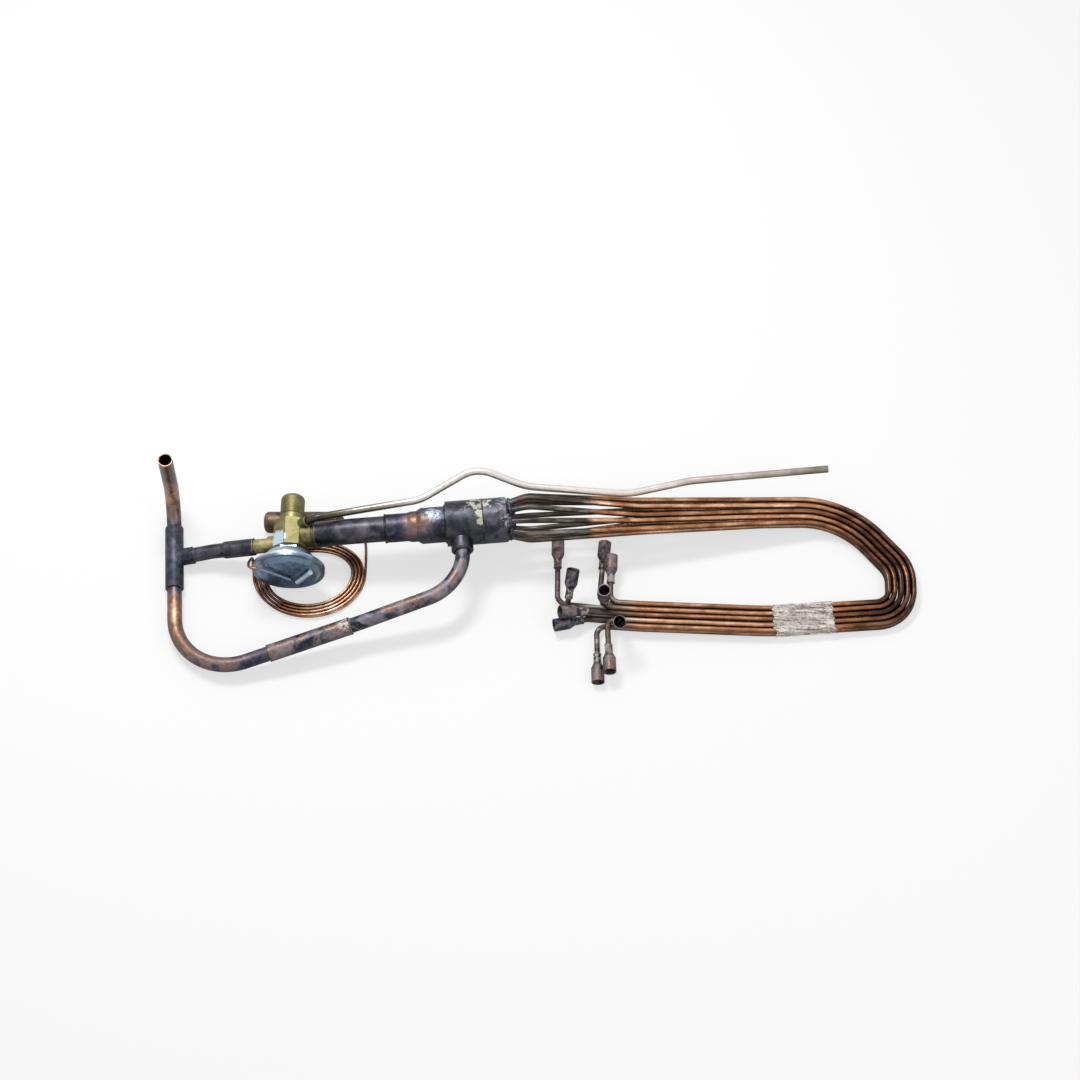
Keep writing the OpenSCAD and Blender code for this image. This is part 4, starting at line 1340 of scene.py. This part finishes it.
@dataclass
class Feeders:
    """The ten feeder tubes with their joints at the distributor and their belled stubs.

    Attributes:
        beads: the maker of the beads.
        splay: the angle between a socket and the distributor's axis, in degrees.
        socket_station: the station of the sockets' mouths on the outlet line, in millimetres.
        socket_radius: their distance from the axis, in millimetres.
        stub_length: the length of a stub, in millimetres.
        bell_length: the depth of its bell, in millimetres.
        tones: the heat of each tube.
        stub_tones: the heat of each stub.
    """

    beads: BeadMaker
    splay: float = 16.0
    socket_station: float = 141.0
    socket_radius: float = 15.0
    stub_length: float = 26.0
    bell_length: float = 12.0
    tones: tuple[float, ...] = (0.42, 0.31, 0.50, 0.37, 0.46, 0.33, 0.44, 0.30, 0.48, 0.38)
    stub_tones: tuple[float, ...] = (0.60, 0.60, 0.66, 0.62, 0.50, 0.64, 0.48, 0.64, 0.70, 0.60)

    def build(self) -> None:
        """Dresses the tubes and stubs and lays their beads."""
        self.dress_tubes()
        self.dress_stubs()
        self.lay_beads()

    def dress_tubes(self) -> None:
        """Gives each tube its own shade of the same copper, reddened at the top of the distributor."""
        blush = Patch(on_main(153.0, 12.0, 10.0), 9 * MM, tone(94, 56, 50), 0.6)
        for i, heat in enumerate(self.tones):
            finish = FeederCopper(
                f"copper_feeder_{i + 1:02d}", Tint.FEEDER, heat,
                blotch=0.34, blotch_size=0.02 + 0.002 * (i % 3), haze=0.1, haze_colour=tone(150, 130, 112),
                # Strong painted shade on the undersides and a painted highlight along the tops.
                roughness=0.26, relief=0.008 * MM, underside_shade=0.85, top_highlight=0.18, patches=(blush,),
            )
            Bench.dress(finish, f"feeder_tube_{i + 1:02d}")

    def stub(self, index: int) -> tuple[Vector, Vector]:
        """Finds a stub's mouth from its mount.

        Args:
            index: the stub's number, from 0.

        Returns:
            The middle of its mouth, in metres, and the direction that it faces.
        """
        mount = next(m for m in frame["record"]["mounts"] if m["name"] == f"feeder_bell_{index + 1:02d}")
        out = Vector(mount["axis"]).normalized()
        return Vector(mount["pos_m"]) + out * self.bell_length / 2 * MM, out

    def dress_stubs(self) -> None:
        """Gives each stub the marks of its own torch pass."""
        for i, heat in enumerate(self.stub_tones):
            mouth, out = self.stub(i)
            neck = mouth - out * (self.stub_length - 4) * MM
            finish = HeatedMetal(
                f"copper_stub_{i + 1:02d}", Tint.COPPER, heat, blotch=0.6, blotch_size=0.006,
                haze=0.75, haze_colour=tone(146, 134, 134), metallic=0.62, roughness=0.46,
                spots=(HeatSpot(mouth, 10 * MM, 0.2 * math.cos(1.7 * i)), HeatSpot(neck, 9 * MM, 0.2)),
                patches=(Patch(neck + UP * 3 * MM, 6 * MM, tone(166, 158, 150), broken=True),),
            )
            Bench.dress(finish, f"feeder_stub_{i + 1:02d}")

    def socket(self, index: int) -> tuple[Vector, Vector]:
        """Finds where a tube comes out of the distributor.

        Args:
            index: the tube's number, from 0.

        Returns:
            The middle of its bead, in metres, and the direction that the bead faces.
        """
        tilt = math.radians(self.splay)
        angle = math.tau / len(self.tones) * (index + 0.5)
        spoke = LEFT * math.cos(angle) + UP * math.sin(angle)
        out = MAIN * math.cos(tilt) + spoke * math.sin(tilt)
        place = on_main(self.socket_station) + (spoke * self.socket_radius + out * 1.9) * MM
        return place, (out * 2 + spoke).normalized()

    def lay_beads(self) -> None:
        """Lays a bead round each tube where it enters the distributor and its stub."""
        rose = Alloy(
            "alloy_rose", Tint.SCALE, heat=0.4, blotch_size=0.003, haze=0.5, roughness=0.4
        ).material()
        neck = Alloy(
            "alloy_neck", Tint.COPPER, heat=0.5, blotch=0.8, blotch_size=0.003, haze=0.5, roughness=0.4
        ).material()
        for i in range(len(self.tones)):
            at_rose, lean = self.socket(i)
            self.beads.lay(Bead(f"feeder_bead_{i + 1:02d}", at_rose, lean, 3.1, 0.95), rose)
            mouth, out = self.stub(i)
            at_neck = mouth - out * (self.stub_length - 0.3) * MM
            self.beads.lay(Bead(f"stub_bead_{i + 1:02d}", at_neck, out, 2.9, 0.75), neck)


@dataclass
class EqualizerLine:
    """The thin line from the valve that runs the length of the assembly.

    Attributes:
        valve_end: a point near its bend by the valve, in metres.
        free_end: its open end, in metres.
    """

    valve_end: Vector = field(default_factory=lambda: mm(-188.0, 42.0, 50.0))
    free_end: Vector = field(default_factory=lambda: mm(251.9, 90.25, 50.0))

    def build(self) -> None:
        """Dresses the line, darker at both of its ends."""
        finish = HeatedMetal(
            "copper_equalizer", Tint.EQUALIZER, heat=0.08, blotch=0.34, blotch_size=0.02,
            haze=0.2, haze_colour=tone(176, 172, 168), roughness=0.3, underside_shade=0.3,
            spots=(HeatSpot(self.valve_end, 96 * MM, 0.85), HeatSpot(self.free_end, 190 * MM, 0.52)),
        )
        Bench.dress(finish, "equalizer_line")


@dataclass
class Capillary:
    """The capillary, coiled in two layers under the valve, and the sensing bulb it ends in.

    Attributes:
        beads: the maker of the beads.
        radius: outer radius of the tube. It and all sizes here are millimetres.
        turns: how many turns the coil has: half of them wind inwards low, and half outwards above.
        steps: how many points each turn has.
        side_radius: the coil's outer radius to the left and right.
        front_radius: its outer radius to the front.
        back_radius: its outer radius to the back.
        pitch: how much the radius changes with each turn.
        lift: how far the upper layer lies over the lower one.
        climb: the turns over which the tube climbs to it.
        low: the height of the lower layer's centre line.
        from_bulb: the points of the lead from the bulb's neck to the coil.
        to_element: the points of the lead from the coil to the element's ferrule.
    """

    beads: BeadMaker
    radius: float = 1.2
    turns: float = 7.5
    steps: int = 60
    side_radius: float = 48.4
    front_radius: float = 41.8
    back_radius: float = 33.8
    pitch: float = 3.1
    lift: float = 2.9
    climb: float = 0.5
    low: float = 1.3
    from_bulb: tuple[tuple[float, float, float], ...] = (
        (-160.1, 58.25, 8.0), (-153.6, 49.25, 3.8), (-151.3, 36.25, 1.7),
    )
    to_element: tuple[tuple[float, float, float], ...] = (
        (-248.7, 22.25, 11.0), (-248.5, 12.25, 27.0), (-247.9, 2.25, 38.0), (-244.1, -5.15, 46.0),
        (-235.1, -5.95, 44.0), (-223.1, -5.95, 35.0), (-211.1, -6.05, 24.6), (-205.5, -6.05, 22.2),
    )

    def build(self) -> None:
        """Sweeps the capillary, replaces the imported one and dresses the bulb."""
        self.sweep_tube()
        self.dress_bulb()

    def sweep_tube(self) -> None:
        """Sweeps the capillary along its route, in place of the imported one."""
        finish = HeatedMetal(
            "copper_capillary", Tint.FEEDER, heat=0.34, blotch=0.5, blotch_size=0.016,
            haze=0.3, haze_colour=tone(150, 130, 114), roughness=0.36,
            spots=(
                HeatSpot(mm(-245.0, 0.0, 10.0), 60 * MM, 0.42),
                HeatSpot(mm(-172.0, -22.0, 2.0), 60 * MM, -0.2),
                HeatSpot(mm(-155.0, 46.0, 4.0), 44 * MM, 0.5),
            ),
            patches=(Patch(mm(-221.0, -5.5, 32.0), 26 * MM, tone(136, 150, 166), 0.85, 0.05),),
        )
        tube = Bench.tube("capillary_coil", self.path(), self.radius * MM)
        Bench.hand_over(tube, finish.material(), "oxidised_copper")
        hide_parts("capillary_tube")

    def dress_bulb(self) -> None:
        """Dresses the bulb, dark towards its neck, and lays the bead where the tube enters it."""
        bulb = HeatedMetal(
            "copper_bulb", Tint.FEEDER, heat=0.40, blotch=0.3, blotch_size=0.014,
            haze=0.45, haze_colour=tone(132, 124, 108),
            spots=(HeatSpot(BULB + ALONG_X * 54 * MM, 90 * MM, 0.5),),
        )
        alloy = Alloy("alloy_bulb", Tint.COPPER, heat=0.4, blotch=0.5, blotch_size=0.003, roughness=0.4)
        Bench.dress(bulb, "sensing_bulb")
        end = BULB + ALONG_X * BULB_LENGTH * MM
        self.beads.lay(Bead("bulb_bead", end, ALONG_X, 1.7, 0.7), alloy.material())

    def turn(self, count: float) -> Vector:
        """Finds a point of the coil.

        Args:
            count: how many turns from the coil's start.

        Returns:
            The point, in millimetres.
        """
        angle = -math.tau * count
        deep = self.back_radius if math.sin(angle) > 0 else self.front_radius
        outer = self.side_radius * deep / math.hypot(
            deep * math.cos(angle), self.side_radius * math.sin(angle)
        )
        half = self.turns / 2
        radius = outer - self.pitch * (count if count < half else self.turns - count)
        share = min(1.0, max(0.0, (count - half + self.climb / 2) / self.climb))
        rise = self.low + self.lift * share * share * (3 - 2 * share)
        return COIL / MM + Vector((radius * math.cos(angle), radius * math.sin(angle), rise))

    def path(self) -> list[Vector]:
        """Follows the tube from inside the bulb to inside the ferrule.

        Returns:
            The points of its centre line, in metres.
        """
        coil = [self.turn(i / self.steps) for i in range(int(self.turns * self.steps) + 1)]
        neck = BULB / MM + ALONG_X * BULB_LENGTH
        lead_in = [neck + ALONG_X * step for step in (-3, -2, 1)]
        lead_in += [Vector(point) for point in self.from_bulb] + [self.turn(0.0), self.turn(1 / 24)]
        lead_out = [self.turn(self.turns - 1 / 12), self.turn(self.turns)]
        lead_out += [Vector(point) for point in self.to_element]
        whole = self.smoothed(lead_in) + coil + self.smoothed(lead_out)
        return [point * MM for point in whole]

    @staticmethod
    def smoothed(points: Sequence[Vector], steps: int = 8) -> list[Vector]:
        """Draws a smooth curve through the points between the first and the last.

        Args:
            points: the points, whose first and last only give the curve its direction.
            steps: how many points to make for each stretch.

        Returns:
            The points of the curve.
        """
        made = []
        for a, b, c, d in zip(points, points[1:], points[2:], points[3:]):
            for k in range(steps):
                t = k / steps
                made.append(
                    0.5 * (2 * b + (c - a) * t + (2 * a - 5 * b + 4 * c - d) * t * t
                           + (3 * b - a - 3 * c + d) * t * t * t)
                )
        return made


@dataclass
class FilmWrap:
    """Thin film wound round the lower run of the feeders, drawn in between them.

    Attributes:
        before: the middle of the bundle where its lower run begins, in metres.
        after: the middle of the bundle further along the run.
        share: how far between the two the film lies.
        width: the film's width along the run. It and the sizes below are millimetres.
        pitch: distance between neighbouring tubes.
        tube_radius: their radius.
        layer: how far each layer of tubes lies from the middle.
        slack: how far the film lies off the tubes.
        sag: how far it dips between two tubes.
        side_sag: how far it dips between the layers.
        thickness: its thickness.
        tear: how ragged its ends are.
        relief: how far its creases stand up.
        around: points round the section.
        along: rows of faces along the run.
    """

    before: Vector = field(default_factory=lambda: mm(313.3, -27.35, 5.25))
    after: Vector = field(default_factory=lambda: mm(198.9, -36.25, 6.9))
    share: float = 0.75
    width: float = 52.0
    pitch: float = 5.48
    tube_radius: float = 2.38
    layer: float = 2.65
    slack: float = 0.42
    sag: float = 0.75
    side_sag: float = 0.5
    thickness: float = 0.06
    tear: float = 3.4
    relief: float = 0.55
    around: int = 224
    along: int = 64

    def build(self) -> None:
        """Models the film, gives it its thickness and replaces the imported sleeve."""
        film = self.add_wall()
        self.shape(film)
        wall = film.modifiers.new("thickness", "SOLIDIFY")
        wall.thickness = self.thickness * MM
        wall.offset = 1.0
        bpy.ops.object.modifier_apply(modifier=wall.name)
        bpy.ops.object.shade_smooth()
        Bench.hand_over(film, CrinkledFilm("film_crinkled").material(), "film")
        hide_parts("bundle_wrap")

    def add_wall(self) -> bpy.types.Object:
        """Adds an open cylinder and cuts its wall into rows from the middle outwards.

        Returns:
            The wall, one unit long and with a radius of one.
        """
        Bench.clear()
        bpy.ops.mesh.primitive_cylinder_add(
            vertices=self.around, radius=1.0, depth=1.0, end_fill_type="NOTHING"
        )
        film = Bench.settle("feeder_film")
        rows = self.along // 2
        heights = [0.0] + [side * (0.5 * row / rows) for row in range(1, rows) for side in (-1, 1)]
        bpy.ops.object.mode_set(mode="EDIT")
        for height in heights:
            bpy.ops.mesh.select_all(action="SELECT")
            bpy.ops.mesh.bisect(plane_co=(0, 0, height), plane_no=(0, 0, 1))
        bpy.ops.object.mode_set(mode="OBJECT")
        return film

    def outline(self, share: float) -> tuple[float, float]:
        """Finds a point of the section: flat over the tubes, with a rounded corner at each end.

        Args:
            share: its share of the way round.

        Returns:
            The way across the run and the way up, in millimetres.
        """
        flat = 4 * self.pitch
        corner = self.tube_radius + self.slack
        side = 2 * self.layer
        arc = math.pi / 2 * corner
        half = flat + side + 2 * arc
        way = share * 2 * half
        lower = way > half
        way = way - half if lower else way
        if way < flat:
            x = way - flat / 2
            dip = self.sag * (1 - math.cos(math.tau * x / self.pitch)) / 2
            point = (x, self.layer + corner - dip)
        elif way < flat + arc:
            turn = (way - flat) / corner
            point = (flat / 2 + corner * math.sin(turn), self.layer + corner * math.cos(turn))
        elif way < flat + arc + side:
            down = way - flat - arc
            dip = self.side_sag * math.sin(math.pi * down / side)
            point = (flat / 2 + corner - dip, self.layer - down)
        else:
            turn = (way - flat - arc - side) / corner
            point = (flat / 2 + corner * math.cos(turn), -self.layer - corner * math.sin(turn))
        return (-point[0], -point[1]) if lower else point

    def shape(self, film: bpy.types.Object) -> None:
        """Lays the wall's points round the tubes, with creases and ragged ends.

        Args:
            film: the wall.
        """
        run = (self.after - self.before).normalized()
        across = run.cross(UP).normalized()
        lift = across.cross(run).normalized()
        middle = self.before.lerp(self.after, self.share)
        for vertex in film.data.vertices:
            share = (math.atan2(vertex.co.y, vertex.co.x) / math.tau) % 1.0
            angle = math.tau * share
            travel = vertex.co.z * self.width
            seed = Vector((math.cos(angle) * 3, math.sin(angle) * 3, travel * 0.045))
            ragged = noise.noise(seed * 1.6) * self.tear * abs(vertex.co.z) * 2
            crease = 0.5 * noise.turbulence(seed * 1.9, 3, False) - 0.1
            ridge = 0.10 * abs(math.sin(travel * 0.3 + 40 * share + 2 * noise.noise(seed)))
            x, z = self.outline(share)
            out = Vector((x, z)).normalized()
            x += out.x * (crease + ridge) * self.relief
            z += out.y * (crease + ridge) * self.relief
            vertex.co = middle + (run * (travel + ragged) + across * x + lift * z) * MM
        film.data.update()


# ---------------------------------------------------------------------------------------------
# Studio
# ---------------------------------------------------------------------------------------------


@dataclass(frozen=True)
class Lamp:
    """A soft rectangular lamp that looks at a point. Sizes are metres, and power is in watts."""

    name: str
    place: Vector
    target: Vector
    width: float
    height: float
    power: float

    def add(self) -> None:
        """Adds the lamp."""
        light = bpy.data.lights.new(self.name, "AREA")
        light.shape = "RECTANGLE"
        light.size = self.width
        light.size_y = self.height
        light.energy = self.power
        lamp = bpy.data.objects.new(self.name, light)
        bpy.context.collection.objects.link(lamp)
        lamp.location = self.place
        lamp.rotation_euler = (self.target - self.place).to_track_quat("-Z", "Y").to_euler()


@dataclass
class Studio:
    """A pale floor, soft light from above and a white surround.

    Attributes:
        sky: strength of the light from the surround.
        white: its colour.
        floor_size: width of the floor, in metres.
        drop: how far the floor lies under the assembly, in millimetres.
        lamps: the lamps.
    """

    sky: float = 0.5
    white: Colour = (1.0, 1.0, 1.0)
    floor_size: float = 60.0
    drop: float = 0.25
    lamps: tuple[Lamp, ...] = (
        Lamp("key_lamp", Vector((-0.35, 0.55, 1.25)), Vector((0.0, 0.0, 0.0)), 0.6, 0.2, 11.5),
        Lamp("fill_lamp", Vector((0.8, -0.5, 0.9)), Vector((0.05, 0.0, 0.0)), 0.7, 0.5, 2.0),
    )

    def build(self) -> None:
        """Adds the floor, the lamps and the world."""
        self.add_floor()
        for lamp in self.lamps:
            lamp.add()
        self.light_world()
        bpy.context.scene.view_settings.view_transform = "Standard"

    def add_floor(self) -> None:
        """Adds the floor just under the assembly."""
        Bench.clear()
        height = CAD_BOX[0].z - self.drop * MM
        bpy.ops.mesh.primitive_plane_add(size=self.floor_size, location=(0.0, 0.0, height))
        floor = Bench.settle("studio_floor")
        floor.data.materials.append(Sweep("floor_pale").material())

    def light_world(self) -> None:
        """Lights with a plain sky that is white where it is seen directly or mirrored."""
        world = bpy.data.worlds.new("studio_world")
        bpy.context.scene.world = world
        graph = Graph(world)
        direct = graph.node("ShaderNodeLightPath", {}, {}, "Is Camera Ray")
        mirrored = graph.node("ShaderNodeLightPath", {}, {}, "Is Glossy Ray")
        through = graph.node("ShaderNodeLightPath", {}, {}, "Is Transmission Ray")
        strength = (direct + mirrored + through).clamped() * (1.0 - self.sky) + self.sky
        sockets = {"Color": rgba(self.white), "Strength": strength}
        surround = graph.node("ShaderNodeBackground", {}, sockets)
        graph.node("ShaderNodeOutputWorld", {}, {"Surface": surround})


@dataclass(frozen=True)
class ViewCamera:
    """The camera, raised over the front of the assembly.

    Attributes:
        elevation: how high it looks down from, in degrees.
        distance: the way to its target, in metres.
        lens: focal length, in millimetres.
        sensor: width of the sensor, in millimetres.
        target: the point that it looks at, in metres.
    """

    elevation: float = 61.0
    distance: float = 1.827
    lens: float = 70.0
    sensor: float = 36.0
    target: Vector = field(default_factory=lambda: mm(1.4, 36.25, 20.0))

    def build(self) -> None:
        """Adds the camera and makes it the scene's."""
        tilt = math.radians(self.elevation)
        back = Vector((0.0, -math.cos(tilt), math.sin(tilt)))
        data = bpy.data.cameras.new("view_camera")
        data.lens = self.lens
        data.sensor_width = self.sensor
        camera = bpy.data.objects.new("view_camera", data)
        bpy.context.collection.objects.link(camera)
        camera.location = self.target + back * self.distance
        camera.rotation_euler = (-back).to_track_quat("-Z", "Y").to_euler()
        bpy.context.scene.camera = camera


def main() -> None:
    """Builds the sub-assemblies in order, then the studio and the camera, and reports each piece."""
    logging.basicConfig(level=logging.INFO, format="%(name)s: %(message)s")
    Bench.clear()
    beads = BeadMaker()
    steps = (
        ("liquid line", LiquidLine(beads)),
        ("valve", Valve(beads)),
        ("element", Element(beads)),
        ("outlet line", OutletLine(beads)),
        ("feeders", Feeders(beads)),
        ("equalizer line", EqualizerLine()),
        ("capillary and bulb", Capillary(beads)),
        ("film", FilmWrap()),
        ("studio", Studio()),
        ("camera", ViewCamera()),
    )
    for title, step in steps:
        before = set(bpy.data.objects.keys())
        step.build()
        patterns = {ring.name for ring in beads.patterns.values()}
        for name in sorted(set(bpy.data.objects.keys()) - before - patterns):
            LOG.info("%s: added %s", title, name)
    beads.put_away()
    LOG.info("%d joints have a bead", beads.made)


if __name__ == "__main__":
    main()
